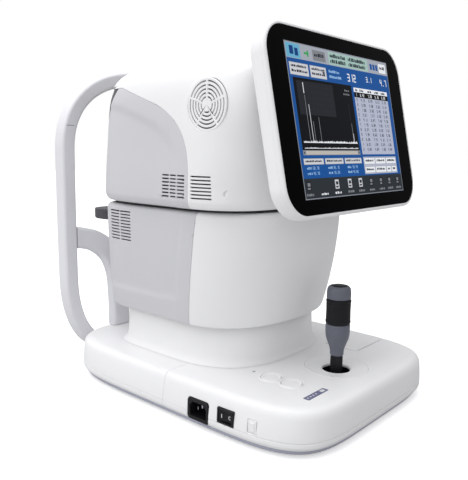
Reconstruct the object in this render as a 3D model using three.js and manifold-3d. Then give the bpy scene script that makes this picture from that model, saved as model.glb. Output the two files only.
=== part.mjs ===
// Tabletop ophthalmic instrument: a base with joystick and printer, a lifting body,
// a measuring head that travels in X and Y, a tilting monitor and a patient headrest.
// Millimetres, +Z up. The operator sits at -Y, the patient at +Y.
import * as THREE from 'three';
import { mergeVertices } from 'three/addons/utils/BufferGeometryUtils.js';
import Module from 'manifold-3d';

const wasm = await Module();
wasm.setup();

// Driving dimensions
const GAP = 0.3; // clearance between pieces that rest on each other
const WALL = 3; // moulded cover thickness
const OUTLINE_POINTS = 40;
const BORE_POINTS = 28; // the insides of covers are plainer than their outsides
const BASE = { halfWidth: 154, front: -202, back: 208.2, floor: 3.3, joint: 9.5, top: 52, seamY: 0 };
const COLLAR = { halfWidth: 107, front: -69, back: 145, top: 150 };
const SKIRT = { bottom: 101.5, top: 239.2 };
const HEAD = { bottom: 242.5, top: 441, eyeLine: 338 };
const MECHANISM_Y = 35; // the lift mechanism's middle
const JOYSTICK = { x: 3, y: -137, pivotZ: 30, holeRadius: 16.3 };
const SCREEN = { y: -145, z: 339, tiltBack: 11.8, width: 272, height: 192 };
const HOUSING = { width: 280, height: 200, depth: 30 };
const RING = { y: 219.6, depth: 22, breadth: 20, halfWidth: 131.5, top: 407, shoulder: 300, ankle: 130, foot: 22 };
const CHIN = { y: 236, top: 219, halfWidth: 64 };
const FRAME_SHIFT_Y = -30; // puts the origin under the middle of the bounding box

// Materials
const paint = (color, roughness, metalness = 0) =>
  new THREE.MeshStandardMaterial({ color, roughness, metalness });
const SHELL_WHITE = () => paint(0xf0f0f2, 0.35);
const PANEL_GREY = () => paint(0xc9c9cd, 0.4);
const RING_GREY = () => paint(0xbfc0c6, 0.4);
const PAN_GREY = () => paint(0xb9bac6, 0.45);
const DARK_GREY = () => paint(0x4a4a50, 0.5);
const STICK_GREY = () => paint(0x5f626e, 0.45);
const BLACK = () => paint(0x17171a, 0.4);
const RUBBER = () => paint(0x1d1d20, 0.8);
const STEEL = () => paint(0xb8bcc2, 0.3, 1);
const ALUMINIUM = () => paint(0xa9adb3, 0.45, 1);
const PAPER = () => paint(0xf6f4ee, 0.9);
const GLASS = () => paint(0x08090c, 0.08);

// Solids
function solidOf(geometry) {
  const bare = geometry.index ? geometry.toNonIndexed() : geometry.clone();
  bare.deleteAttribute('normal');
  bare.deleteAttribute('uv');
  const merged = mergeVertices(bare, 1e-4);
  return new wasm.Manifold(new wasm.Mesh({
    numProp: 3,
    vertProperties: new Float32Array(merged.attributes.position.array),
    triVerts: new Uint32Array(merged.index.array),
  }));
}

function geometryOf(solid) {
  const mesh = solid.getMesh();
  const geometry = new THREE.BufferGeometry();
  geometry.setAttribute('position', new THREE.BufferAttribute(new Float32Array(mesh.vertProperties), 3));
  geometry.setIndex(new THREE.BufferAttribute(new Uint32Array(mesh.triVerts), 1));
  geometry.computeVertexNormals();
  return geometry;
}

const union = (...geometries) => geometryOf(geometries.map(solidOf).reduce((a, b) => a.add(b)));
const intersect = (first, second) => geometryOf(solidOf(first).intersect(solidOf(second)));

function subtract(first, ...cutters) {
  return geometryOf(cutters.map(solidOf).reduce((solid, cutter) => solid.subtract(cutter), solidOf(first)));
}

// Outlines: superellipse arcs whose front and back halves may differ
function outline(level, count = OUTLINE_POINTS) {
  const { halfWidth, front, back, middle = (front + back) / 2, squareFront = 5, squareBack = 5 } = level;
  const points = [];
  for (let i = 0; i < count; i += 1) {
    const angle = (i / count) * 2 * Math.PI;
    const power = Math.sin(angle) > 0 ? 2 / squareBack : 2 / squareFront;
    const reach = Math.sin(angle) > 0 ? back - middle : middle - front;
    points.push(new THREE.Vector2(
      halfWidth * Math.sign(Math.cos(angle)) * Math.abs(Math.cos(angle)) ** power,
      middle + reach * Math.sign(Math.sin(angle)) * Math.abs(Math.sin(angle)) ** power,
    ));
  }
  return points;
}

function roundedBox(width, height, radius, steps = 4) {
  const points = [];
  for (let corner = 0; corner < 4; corner += 1) {
    const signX = corner === 0 || corner === 3 ? 1 : -1;
    const signY = corner < 2 ? 1 : -1;
    for (let step = 0; step <= steps; step += 1) {
      const angle = ((corner + step / steps) * Math.PI) / 2;
      points.push(new THREE.Vector2(
        signX * (width / 2 - radius) + radius * Math.cos(angle),
        signY * (height / 2 - radius) + radius * Math.sin(angle),
      ));
    }
  }
  return points;
}

// A closed solid through outlines at rising heights
function stack(levels) {
  const count = levels[0].points.length;
  const positions = [];
  const index = [];
  levels.forEach(({ z, points }) => points.forEach((p) => positions.push(p.x, p.y, z)));
  for (let level = 0; level < levels.length - 1; level += 1) {
    for (let i = 0; i < count; i += 1) {
      const a = level * count + i;
      const b = level * count + ((i + 1) % count);
      index.push(a, b, b + count, a, b + count, a + count);
    }
  }
  [0, levels.length - 1].forEach((level) => {
    const { z, points } = levels[level];
    const middle = points.reduce((sum, p) => sum.add(p), new THREE.Vector2()).divideScalar(count);
    const centre = positions.push(middle.x, middle.y, z) / 3 - 1;
    for (let i = 0; i < count; i += 1) {
      const a = level * count + i;
      const b = level * count + ((i + 1) % count);
      index.push(...(level === 0 ? [centre, b, a] : [centre, a, b]));
    }
  });
  const geometry = new THREE.BufferGeometry();
  geometry.setAttribute('position', new THREE.Float32BufferAttribute(positions, 3));
  geometry.setIndex(index);
  geometry.computeVertexNormals();
  return geometry;
}

function outlineStack(levels, count) {
  return stack(levels.map((level) => ({ z: level.z, points: outline(level, count) })));
}

const shrink = (level, inset) => ({
  ...level,
  halfWidth: level.halfWidth - inset,
  front: level.front + inset,
  back: level.back - inset,
});

function box([x0, x1], [y0, y1], [z0, z1]) {
  const geometry = new THREE.BoxGeometry(x1 - x0, y1 - y0, z1 - z0);
  return geometry.translate((x0 + x1) / 2, (y0 + y1) / 2, (z0 + z1) / 2);
}

function rod(radius, length, axis, [x, y, z], segments = 16) {
  const geometry = new THREE.CylinderGeometry(radius, radius, length, segments);
  if (axis === 'x') geometry.rotateZ(Math.PI / 2);
  if (axis === 'z') geometry.rotateX(Math.PI / 2);
  return geometry.translate(x, y, z);
}

// Profiles are [radius, height] pairs, turned about +Z
function turned(profile, segments = 18) {
  const points = profile.map(([radius, height]) => new THREE.Vector2(radius, height));
  return new THREE.LatheGeometry(points, segments).rotateX(Math.PI / 2);
}

function washer(inner, outer, low, high, segments = 20) {
  return turned([[inner, low], [outer, low], [outer, high], [inner, high], [inner, low]], segments);
}

// Prisms: along +Z for plan shapes, along +X for side shapes drawn in (y, z)
function slab(points, low, high) {
  const shape = new THREE.Shape(points);
  return new THREE.ExtrudeGeometry(shape, { depth: high - low, bevelEnabled: false, curveSegments: 8 })
    .translate(0, 0, low);
}

function sidePrism(shape, [x0, x1]) {
  const geometry = new THREE.ExtrudeGeometry(shape, { depth: x1 - x0, bevelEnabled: false, curveSegments: 8 });
  geometry.applyMatrix4(new THREE.Matrix4().set(0, 0, 1, x0, 1, 0, 0, 0, 0, 1, 0, 0, 0, 0, 0, 1));
  return geometry;
}

function frontPrism(points, [y0, y1]) {
  const geometry = new THREE.ExtrudeGeometry(new THREE.Shape(points), { depth: y1 - y0, bevelEnabled: false });
  geometry.applyMatrix4(new THREE.Matrix4().set(1, 0, 0, 0, 0, 0, -1, y1, 0, 1, 0, 0, 0, 0, 0, 1));
  return geometry;
}

// Scene graph
const instrument = new THREE.Group();
instrument.position.y = FRAME_SHIFT_Y;

function piece(name, geometry, material, { at = [0, 0, 0], turn = [0, 0, 0], parent = instrument } = {}) {
  const mesh = new THREE.Mesh(geometry, material);
  mesh.name = name;
  mesh.position.set(...at);
  mesh.rotation.set(...turn);
  parent.add(mesh);
  return mesh;
}

// Base covers
const BASE_SHAPE = { squareFront: 5.5, squareBack: 5.5 };
const BASE_LEVELS = [
  { z: BASE.joint, halfWidth: 152, front: -200, back: 204 },
  { z: 14, halfWidth: BASE.halfWidth, front: BASE.front, back: 206.5 },
  { z: 42, halfWidth: 150.5, front: -201.5, back: BASE.back },
  { z: 48, halfWidth: 148.5, front: -199.5, back: 206.5 },
  { z: 51, halfWidth: 145, front: -196, back: 203 },
  { z: BASE.top, halfWidth: 140, front: -191, back: 198 },
].map((level) => ({ ...level, ...BASE_SHAPE }));
const PRINTER = { x: [67, 133], y: [-128, -77] };
const BUTTONS = [
  { name: 'chinrest_up_button', x: -79, y: -102 },
  { name: 'chinrest_down_button', x: -78, y: -130 },
];
const BUTTON_RADIUS = 12;
const INLET = { y: [-73, -41], z: [10, 35] };
const SWITCH = { y: [-109, -86], z: [19, 36] };
const PORT = { y: [-137.5, -126.5], z: [20, 34] };

function baseShell() {
  const outer = outlineStack(BASE_LEVELS);
  const inner = outlineStack(BASE_LEVELS.slice(0, 4).map((level, i) => ({
    ...shrink(level, WALL), z: i === 0 ? level.z - 1 : level.z,
  })).concat([{ ...shrink(BASE_LEVELS[4], WALL), z: BASE.top - WALL }]), BORE_POINTS);
  const wallCuts = [INLET, SWITCH, PORT].map(({ y, z }) => box(
    [-160, -140], [y[0] - GAP, y[1] + GAP], [z[0] - GAP, z[1] + GAP],
  ));
  const buttonCuts = BUTTONS.map(({ x, y }) => rod(BUTTON_RADIUS + 0.5, 12, 'z', [x, y, BASE.top], 24));
  return subtract(
    outer,
    inner,
    ...wallCuts,
    ...buttonCuts,
    rod(JOYSTICK.holeRadius, 12, 'z', [JOYSTICK.x, JOYSTICK.y, BASE.top], 32),
    box([PRINTER.x[0], PRINTER.x[1]], PRINTER.y, [45, 60]),
    box([-88, 88], [-40, 118], [45, 60]),
  );
}

function buildBaseCovers() {
  const shell = baseShell();
  piece('base_front_cover', intersect(shell, box([-200, 200], [-300, BASE.seamY - GAP / 2], [0, 80])), SHELL_WHITE());
  piece('base_rear_cover', intersect(shell, box([-200, 200], [BASE.seamY + GAP / 2, 300], [0, 80])), SHELL_WHITE());
  const panLevel = { halfWidth: 149.5, front: -197, back: 201.5, ...BASE_SHAPE };
  piece('base_pan', subtract(
    outlineStack([{ ...shrink(panLevel, 2), z: BASE.floor }, { ...panLevel, z: 5 },
      { ...panLevel, z: BASE.joint - GAP }]),
    outlineStack(
      [{ ...shrink(panLevel, 4), z: BASE.floor + 2 }, { ...shrink(panLevel, 4), z: BASE.joint + 1 }], BORE_POINTS,
    ),
  ), PAN_GREY());
  [[-1, -1, 'front_left'], [1, -1, 'front_right'], [-1, 1, 'rear_left'], [1, 1, 'rear_right']]
    .forEach(([sideX, sideY, label]) => {
      piece(`foot_${label}`, turned([[0, 0], [12, 0], [14, BASE.floor - GAP], [0, BASE.floor - GAP]], 20), RUBBER(),
        { at: [sideX * 112, 2 + sideY * 158, 0] });
    });
}

// Push buttons
function buildButtons() {
  BUTTONS.forEach(({ name, x, y }) => {
    piece(name, turned([[0, -4.5], [4, -4.5], [4, -2], [BUTTON_RADIUS, -2], [BUTTON_RADIUS, 0.5], [10.5, 1], [0, 0.6]]),
      SHELL_WHITE(), { at: [x, y, BASE.top] });
  });
}

// Mains inlet, rocker switch and the blank port cover
const WALL_X = -153.4;

function buildPowerEntry() {
  const inletMiddle = [(INLET.y[0] + INLET.y[1]) / 2, (INLET.z[0] + INLET.z[1]) / 2];
  const socket = subtract(
    union(box([WALL_X, WALL_X + 5], INLET.y, INLET.z), box([WALL_X, -130], [-70, -44], [12, 33])),
    box([-160, WALL_X + 17], [inletMiddle[0] - 12, inletMiddle[0] + 12], [inletMiddle[1] - 8, inletMiddle[1] + 8]),
  );
  const pins = [-7, 0, 7].map((offset) => box(
    [WALL_X + 7.5, WALL_X + 19], [inletMiddle[0] + offset - 1, inletMiddle[0] + offset + 1],
    [inletMiddle[1] - (offset === 0 ? 0 : 4), inletMiddle[1] + (offset === 0 ? 4 : 0)],
  ));
  piece('power_inlet', union(socket, ...pins), BLACK());
  piece('switch_frame', subtract(
    box([WALL_X, -132], SWITCH.y, SWITCH.z),
    box([-160, -140], [SWITCH.y[0] + 2, SWITCH.y[1] - 2], [SWITCH.z[0] + 2, SWITCH.z[1] - 2]),
  ), BLACK());
  const rocker = new THREE.Shape();
  rocker.moveTo(-2.2, -8.8);
  rocker.quadraticCurveTo(0.6, 0, -2.2, 8.8);
  rocker.lineTo(3, 7);
  rocker.lineTo(5, 0);
  rocker.lineTo(3, -7);
  const body = new THREE.ExtrudeGeometry(rocker, { depth: 12, bevelEnabled: false, curveSegments: 6 });
  piece('power_rocker', body.translate(0, 0, -6), BLACK(), {
    at: [WALL_X + 2.9, (SWITCH.y[0] + SWITCH.y[1]) / 2, (SWITCH.z[0] + SWITCH.z[1]) / 2],
    turn: [0, 0, THREE.MathUtils.degToRad(7)],
  });
  piece('port_cover', box([-150.6, -147.2], PORT.y, PORT.z), SHELL_WHITE());
}

// Printer bay with its door, paper roll and platen
const PRINTER_HINGE = { y: -80, z: 50.4 };

function buildPrinter() {
  const [x0, x1] = PRINTER.x;
  const [y0, y1] = PRINTER.y;
  const spindle = { y: -103, z: 30 };
  piece('printer_bay', union(
    subtract(
      box([x0 - 1, x1 + 1], [y0 - 1, y1 + 1], [10, 48.6]),
      box([x0 + 1, x1 - 1], [y0 + 1, y1 - 1], [12, 60]),
    ),
    rod(5, x1 - x0 - 1, 'x', [(x0 + x1) / 2, spindle.y, spindle.z]),
  ), DARK_GREY());
  const roll = washer(6.2, 16, -28.5, 28.5, 28).rotateY(Math.PI / 2);
  piece('paper_roll', roll, PAPER(), { at: [(x0 + x1) / 2, spindle.y, spindle.z] });
  piece('printer_door', union(
    box([x0 + 0.6, x1 - 0.6], [y0 + 0.6, PRINTER_HINGE.y - 0.2], [49.2, 52.8]),
    rod(1.8, x1 - x0 - 1.2, 'x', [(x0 + x1) / 2, PRINTER_HINGE.y, PRINTER_HINGE.z], 16),
    ...[x0 + 2.2, x1 - 4.2].map((x) => box([x, x + 2], [-126, -114], [41, 49.6])),
  ), SHELL_WHITE());
  piece('platen_roller', rod(3.6, x1 - x0 - 8.4 - 2 * GAP, 'x', [(x0 + x1) / 2, -120, 44.8], 16), RUBBER());
}

// Joystick: socket, gimbal ring, stick, twist grip and trigger button
function buildJoystick() {
  const { x, y, pivotZ } = JOYSTICK;
  const at = [x, y, pivotZ];
  piece('joystick_socket', subtract(
    turned([[0, -22], [34, -22], [34, 18.6], [31, 18.6], [31, -19], [0, -19]], 32),
    rod(2.2, 80, 'x', [0, 0, 0], 12),
  ), BLACK(), { at });
  piece('gimbal_ring', subtract(
    union(washer(20, 24, -4, 4), rod(2, 10, 'x', [28, 0, 0], 12), rod(2, 10, 'x', [-28, 0, 0], 12)),
    rod(2.2, 80, 'y', [0, 0, 0], 12),
  ), STEEL(), { at });
  piece('joystick_stem', union(
    turned([[0, -9], [6, -7], [9.5, 0], [7.5, 6], [7.5, 36], [0, 36]]),
    rod(2, 46, 'y', [0, 0, 0], 12),
  ), BLACK(), { at });
  piece('joystick_body', turned([
    [0, 36 + GAP], [7.8, 36 + GAP], [8.2, 42], [12.5, 54], [14.5, 63], [14.5, 76 - GAP], [6, 76 - GAP],
    [6, 106 - GAP], [0, 106 - GAP],
  ]), STICK_GREY(), { at });
  piece('grip_ring', turned([
    [6 + GAP, 76], [14.2, 76], [14.9, 78], [14.6, 91], [14.9, 104], [14.2, 106 - GAP], [6 + GAP, 106 - GAP],
    [6 + GAP, 76],
  ]), RUBBER(), { at });
  piece('joystick_cap', turned([
    [0, 106], [14, 106], [14, 118], [12.4, 121.6], [9.6, 121.6], [9.6, 114], [0, 114],
  ]), STICK_GREY(), { at });
  piece('trigger_button', turned([[0, 116.5], [9, 116.5], [9, 121], [6, 122.6], [0, 123.2]], 20), BLACK(), { at });
}

// Collar that stands on the base and the lift mechanism inside it
const COLLAR_SHAPE = { squareFront: 2.8, squareBack: 6 };
const GUIDE_X = 60;
const GUIDE_TOP = 165;

function buildCollarAndLift() {
  const { halfWidth, front, back, top } = COLLAR;
  const levels = [
    { z: BASE.top + GAP, halfWidth: halfWidth + 6, front: front - 6, back: back + 6 },
    { z: 55, halfWidth: halfWidth + 2.5, front: front - 2.5, back: back + 2.5 },
    { z: 62, halfWidth, front, back },
    { z: top, halfWidth: halfWidth - 2, front: front + 2, back: back - 2 },
  ].map((level) => ({ ...level, ...COLLAR_SHAPE }));
  const bore = [{ ...shrink(levels[2], WALL), z: 40 }, { ...shrink(levels[3], WALL), z: top + 10 }];
  piece('collar', subtract(outlineStack(levels), outlineStack(bore, BORE_POINTS)), SHELL_WHITE());
  piece('lift_foot', union(
    box([-85, 85], [-15, 85], [5.6, 12]),
    ...[-GUIDE_X, GUIDE_X].map((x) => rod(6, GUIDE_TOP - 10, 'z', [x, MECHANISM_Y, (GUIDE_TOP + 10) / 2], 16)),
  ), ALUMINIUM());
  piece('lift_motor', box([-21, 21], [MECHANISM_Y - 21, MECHANISM_Y + 21], [12 + GAP, 46]), DARK_GREY());
  piece('lead_screw', rod(5, GUIDE_TOP - 47, 'z', [0, MECHANISM_Y, (GUIDE_TOP + 46 + GAP) / 2], 16), STEEL());
  piece('power_supply', box([-122, -42], [62, 150], [12.5, 46]), ALUMINIUM());
  piece('lift_carriage', carriage(), ALUMINIUM());
}

function carriage() {
  const plates = union(
    box([-78, 78], [10, 60], [112, 128]),
    box([-78, -71], [10, 60], [112, 200]),
    box([71, 78], [10, 60], [112, 200]),
    box([-100, 100], [-48, 88], [194, 200]),
    box([-104, -96], [-48, 88], [194, 224]),
    box([96, 104], [-48, 88], [194, 224]),
    ...X_ROD_Y.map((y) => rod(5, 200, 'x', [0, y, X_ROD_Z], 16)),
  );
  return subtract(
    plates,
    ...[-GUIDE_X, GUIDE_X].map((x) => rod(6 + GAP, 40, 'z', [x, MECHANISM_Y, 120], 20)),
    rod(5 + GAP, 40, 'z', [0, MECHANISM_Y, 120], 20),
  );
}

// Lifting body covers
const SKIRT_LEVELS = [
  { z: SKIRT.bottom, halfWidth: 114, front: -79, back: 152 },
  { z: SKIRT.bottom + 4, halfWidth: 118, front: -83, back: 156 },
  { z: SKIRT.top - 6, halfWidth: 127, front: -105, back: 156 },
  { z: SKIRT.top - 1.5, halfWidth: 125, front: -103, back: 154 },
  { z: SKIRT.top, halfWidth: 122, front: -100, back: 151 },
].map((level) => ({ ...level, middle: 13, squareFront: 2.4, squareBack: 9 }));
const SEAM = { topY: -25, bottomY: -5 }; // the joint between front cover and side panels leans forward

function seamPrism(shift) {
  const shape = new THREE.Shape([
    new THREE.Vector2(SEAM.bottomY + shift, SKIRT.bottom - 5), new THREE.Vector2(300, SKIRT.bottom - 5),
    new THREE.Vector2(300, SKIRT.top + 5), new THREE.Vector2(SEAM.topY + shift, SKIRT.top + 5),
  ]);
  return sidePrism(shape, [-200, 200]);
}

function buildBodyCovers() {
  const inner = [0, 2, 4].map((i) => shrink(SKIRT_LEVELS[i], WALL));
  inner[0].z -= 1;
  inner[2].z += 1;
  const shell = subtract(outlineStack(SKIRT_LEVELS), outlineStack(inner, BORE_POINTS));
  piece('body_front_cover', subtract(shell, seamPrism(-GAP)), SHELL_WHITE());
  const ventRows = [];
  for (let row = 0; row < 5; row += 1) {
    const z = 193 + row * 7.8;
    ventRows.push(box([-140, 140], [90, 132.5], [z, z + 3]));
  }
  const rear = subtract(intersect(shell, seamPrism(0)), ...ventRows);
  piece('body_side_panel_left', intersect(rear, box([-200, -90 - GAP], [-100, 300], [0, 300])), PANEL_GREY());
  piece('body_side_panel_right', intersect(rear, box([90 + GAP, 200], [-100, 300], [0, 300])), PANEL_GREY());
  piece('body_rear_cover', intersect(rear, box([-90, 90], [60, 300], [0, 300])), PANEL_GREY());
  piece('body_top_plate', subtract(
    slab(outline({ halfWidth: 118, front: -96, back: 146, middle: 13, squareFront: 2.4, squareBack: 9 }), 239.5, 241.3),
    box([-67, 67], [-32, 62], [230, 250]),
  ), DARK_GREY());
}

// X and Y travel stages between the body and the head
const X_ROD_Y = [-28, 68];
const X_ROD_Z = 212;
const Y_ROD_X = 25;
const Y_ROD_Z = 230;

function buildStages() {
  piece('x_stage', subtract(
    union(
      box([-36, 36], [-40, 80], [204.5, 221]),
      box([-36, 36], [-46, -38], [212, 236]),
      box([-36, 36], [78, 86], [212, 236]),
      ...[-Y_ROD_X, Y_ROD_X].map((x) => rod(4, 124, 'y', [x, 20, Y_ROD_Z], 16)),
    ),
    ...X_ROD_Y.map((y) => rod(5 + GAP, 100, 'x', [0, y, X_ROD_Z], 20)),
  ), ALUMINIUM());
  piece('head_chassis', subtract(
    union(
      box([-34, 34], [-4, 36], [223.5, 237]),
      box([-22, 22], [-4, 36], [236, 251]),
      slab(outline({ halfWidth: 118, front: -86, back: 146 }), 248, 252),
      box([-52, -47], [-60, 90], [251, 312]),
      box([47, 52], [-60, 90], [251, 312]),
      box([-52, 52], [-60, 90], [307, 312]),
    ),
    ...[-Y_ROD_X, Y_ROD_X].map((x) => rod(4 + GAP, 60, 'y', [x, 16, Y_ROD_Z], 20)),
  ), ALUMINIUM());
}

// Measuring head covers
const HEAD_LEVELS = [
  { z: HEAD.bottom, halfWidth: 130, front: -92, back: 163, squareFront: 3.6 },
  { z: 246.5, halfWidth: 134.5, front: -96.5, back: 168, squareFront: 3.6 },
  { z: 252, halfWidth: 136, front: -98, back: 169.5, squareFront: 3.6 },
  { z: 310, halfWidth: 134, front: -101, back: 165.5, squareFront: 5 },
  { z: 364, halfWidth: 131.5, front: -102, back: 159.5 },
  { z: 384, halfWidth: 128, front: -101, back: 152 },
  { z: 393, halfWidth: 123.5, front: -100, back: 149, squareBack: 4.6 },
  { z: 403, halfWidth: 110, front: -98, back: 148, squareBack: 4 },
  { z: 418, halfWidth: 86, front: -93, back: 140, squareBack: 3 },
  { z: 430, halfWidth: 62, front: -88, back: 124, squareBack: 2.6 },
  { z: 437.5, halfWidth: 40, front: -80, back: 100, squareBack: 2.4 },
  { z: HEAD.top, halfWidth: 20, front: -68, back: 72, squareBack: 2.2 },
].map((level) => ({ middle: 20, squareFront: 8, squareBack: 5, ...level }));
const DOME_START = 390;
const FACE = { y: 112, holeRadius: 27 };
const FAN = { y: -48, z: 356, radius: 28 };

// The head's shape, moved in by an inset; the bore has fewer levels and opens at the bottom
function headSolid(inset, isBore = false) {
  const levels = isBore ? HEAD_LEVELS.filter((_, i) => i % 2 === 0 || i === HEAD_LEVELS.length - 1) : HEAD_LEVELS;
  return outlineStack(levels.map((level, i) => {
    const drop = level.z > DOME_START ? inset : 0;
    return { ...shrink(level, inset), z: level.z - (isBore && i === 0 ? 1 : drop) };
  }), isBore ? BORE_POINTS : OUTLINE_POINTS);
}

// The side panel's border: a vertical edge that bends over into a long shallow arc
function sidePanelPrism(x, shift) {
  const shape = new THREE.Shape();
  shape.moveTo(-22 - shift, 200);
  shape.lineTo(-22 - shift, 280);
  shape.bezierCurveTo(-22 - shift, 322, -5, 343 + shift, 33, 359 + shift);
  shape.lineTo(99, 381 + shift);
  shape.lineTo(240, 381 + shift);
  shape.lineTo(240, 200);
  return sidePrism(shape, x);
}

function facePrism(grow) {
  const half = [[122, 384], [112, 366 - grow], [84, 346 - grow], [78, 259 - grow]];
  const right = half.map(([x, z], i) => new THREE.Vector2(x + grow, i === 0 ? z + grow : z));
  const left = right.map(({ x, y }) => new THREE.Vector2(-x, y)).reverse();
  // high up, the panel also wraps round both rear corners in a wedge
  const wedge = new THREE.Shape([[108 - grow, 381 + grow], [200, 381 + grow], [200, 344 - grow],
    [142 - grow, 344 - grow]].map(([y, z]) => new THREE.Vector2(y, z)));
  return union(frontPrism([...right, ...left], [FACE.y, 200]), sidePrism(wedge, [-200, 200]));
}

function sideVents(sign) {
  const rows = [];
  for (let row = 0; row < 4; row += 1) {
    const z = 255 + row * 7;
    rows.push(
      box([sign * 134 - 14, sign * 134 + 14], [-53, -26], [z, z + 3]),
      box([sign * 134 - 14, sign * 134 + 14], [-17, 21], [z, z + 3]),
    );
  }
  return rows;
}

function buildHeadCovers() {
  const vents = [...sideVents(-1), ...sideVents(1)];
  const shell = subtract(headSolid(0), headSolid(WALL, true), ...vents);
  const fanHole = rod(FAN.radius + GAP, 30, 'x', [-130, FAN.y, FAN.z], 32);
  piece('head_main_cover', subtract(
    shell, sidePanelPrism([-200, 200], GAP), facePrism(GAP), fanHole,
  ), SHELL_WHITE());
  piece('head_side_panel_left', subtract(
    intersect(shell, sidePanelPrism([-200, -60], 0)), facePrism(GAP), box([-78.3, 0], [100, 300], [200, 300]),
  ), PANEL_GREY());
  piece('head_side_panel_right', subtract(
    intersect(shell, sidePanelPrism([60, 200], 0)), facePrism(GAP), box([0, 78.3], [100, 300], [200, 300]),
  ), PANEL_GREY());
  piece('patient_face_panel', subtract(
    intersect(subtract(headSolid(1.2), headSolid(WALL + 1, true)), facePrism(0)),
    rod(FACE.holeRadius, 120, 'y', [0, 150, HEAD.eyeLine], 32),
  ), DARK_GREY());
}

// Optics, fan and electronics inside the head
function buildHeadInside() {
  piece('optics_box', box([-40, 40], [-56, 64], [312 + GAP, 366]), BLACK());
  const barrel = washer(19, 24, 0, 94, 28).rotateX(-Math.PI / 2);
  piece('objective_barrel', barrel, BLACK(), { at: [0, 64 + GAP, HEAD.eyeLine] });
  const lens = turned([[0, 0], [18.6, 0], [18.6, 3], [12, 5], [0, 6]], 28).rotateX(-Math.PI / 2);
  piece('objective_lens', lens, GLASS(), { at: [0, 146, HEAD.eyeLine] });
  piece('fan_grille', fanGrille(), SHELL_WHITE());
  piece('fan_frame', subtract(
    box([-118, -106], [FAN.y - 25, FAN.y + 25], [FAN.z - 25, FAN.z + 25]),
    rod(23, 40, 'x', [-107, FAN.y, FAN.z], 28),
  ), BLACK());
  const blades = [];
  for (let blade = 0; blade < 7; blade += 1) {
    blades.push(new THREE.BoxGeometry(7, 13.5, 1.2).rotateY(0.6).translate(0, 15, 0)
      .rotateX((blade / 7) * 2 * Math.PI));
  }
  piece('fan_rotor', union(rod(9.5, 9, 'x', [0, 0, 0], 20), ...blades), DARK_GREY(), { at: [-112, FAN.y, FAN.z] });
}

function fanGrille() {
  const thickness = 2.4;
  const rings = [[14.5, 17.5], [24.5, FAN.radius]];
  const spokes = [];
  for (let spoke = 0; spoke < 5; spoke += 1) {
    spokes.push(new THREE.BoxGeometry(thickness, 3, 20).translate(0, 0, 17)
      .rotateX((spoke / 5) * 2 * Math.PI));
  }
  const disc = rod(8.5, thickness, 'x', [0, 0, 0], 24);
  const hoops = rings.map(([inner, outer]) => washer(inner, outer, -thickness / 2, thickness / 2, 28)
    .rotateY(Math.PI / 2));
  return union(disc, ...hoops, ...spokes).translate(-130.6, FAN.y, FAN.z);
}

// Monitor on its tilt hinge
const HINGE = { y: -109.5, z: 333, pinRadius: 2.5 };

function buildMonitor() {
  piece('monitor_bracket', subtract(
    union(
      box([-52, 52], [-107.2, -104.4], [296, 370]),
      box([-52, -40], [-113.5, -105], [326, 340]),
      box([40, 52], [-113.5, -105], [326, 340]),
    ),
    rod(HINGE.pinRadius + GAP, 200, 'x', [0, HINGE.y, HINGE.z]),
    box([-39.5, 39.5], [-120, -100], [322, 344]),
  ), ALUMINIUM());
  piece('hinge_pin', rod(HINGE.pinRadius, 104, 'x', [0, HINGE.y, HINGE.z]), STEEL());

  const monitor = new THREE.Group();
  monitor.position.set(0, SCREEN.y, SCREEN.z);
  monitor.rotation.x = THREE.MathUtils.degToRad(-SCREEN.tiltBack);
  instrument.add(monitor);

  // Depths run backwards from the glass along the monitor's own +Y
  const { width, height, depth } = HOUSING;
  const backwards = (levels) => stack(levels.map(([z, inset, radius]) => ({
    z, points: roundedBox(width - inset, height - inset, radius),
  }))).rotateX(-Math.PI / 2);
  const housing = backwards([[4, 0, 34], [12, 0.6, 34], [18, 4, 32.5], [23, 14, 29], [27, 28, 24], [depth, 44, 20]]);
  const cavity = backwards([[3, 6, 31], [12, 7, 31], [17, 12, 28], [21, 22, 24], [25.5, 36, 19]]);
  const turnBack = new THREE.Matrix4().makeRotationX(THREE.MathUtils.degToRad(SCREEN.tiltBack));
  const pin = new THREE.Vector3(0, HINGE.y - SCREEN.y, HINGE.z - SCREEN.z).applyMatrix4(turnBack);
  const knuckle = rod(7, 78, 'x', [0, pin.y, pin.z], 24);
  const tie = box([-39, 39], [depth - 2, pin.y], [pin.z - 6.5, pin.z + 6.5]);
  piece('monitor_rear_housing', subtract(
    union(subtract(housing, cavity), knuckle, tie),
    rod(HINGE.pinRadius + GAP, 100, 'x', [0, pin.y, pin.z]),
  ), SHELL_WHITE(), { parent: monitor });
  piece('monitor_front_frame', subtract(
    backwards([[-0.4, 4.5, 31.8], [0.6, 2, 33], [2, 0.5, 33.8], [3.7, 0, 34]]),
    stack([-5, 6].map((z) => ({ z, points: roundedBox(SCREEN.width + 0.6, SCREEN.height + 0.6, 30.3) })))
      .rotateX(-Math.PI / 2),
  ), SHELL_WHITE(), { parent: monitor });
  piece('cover_glass', slab(roundedBox(SCREEN.width, SCREEN.height, 30), 0, 2.6).rotateX(-Math.PI / 2), GLASS(),
    { parent: monitor });
}

// Headrest: ring, support arms, chin rest and forehead pad
function arc(middleX, middleZ, reachX, reachZ, square, from, to, steps) {
  const points = [];
  for (let i = 0; i <= steps; i += 1) {
    const angle = from + ((to - from) * i) / steps;
    points.push(new THREE.Vector3(
      middleX + reachX * Math.sign(Math.cos(angle)) * Math.abs(Math.cos(angle)) ** (2 / square),
      RING.y,
      middleZ + reachZ * Math.sign(Math.sin(angle)) * Math.abs(Math.sin(angle)) ** (2 / square),
    ));
  }
  return points;
}

function sweep(points, sectionPoints, steps) {
  return new THREE.ExtrudeGeometry(new THREE.Shape(sectionPoints), {
    steps, extrudePath: new THREE.CatmullRomCurve3(points, false, 'centripetal'), bevelEnabled: false,
  });
}

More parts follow.
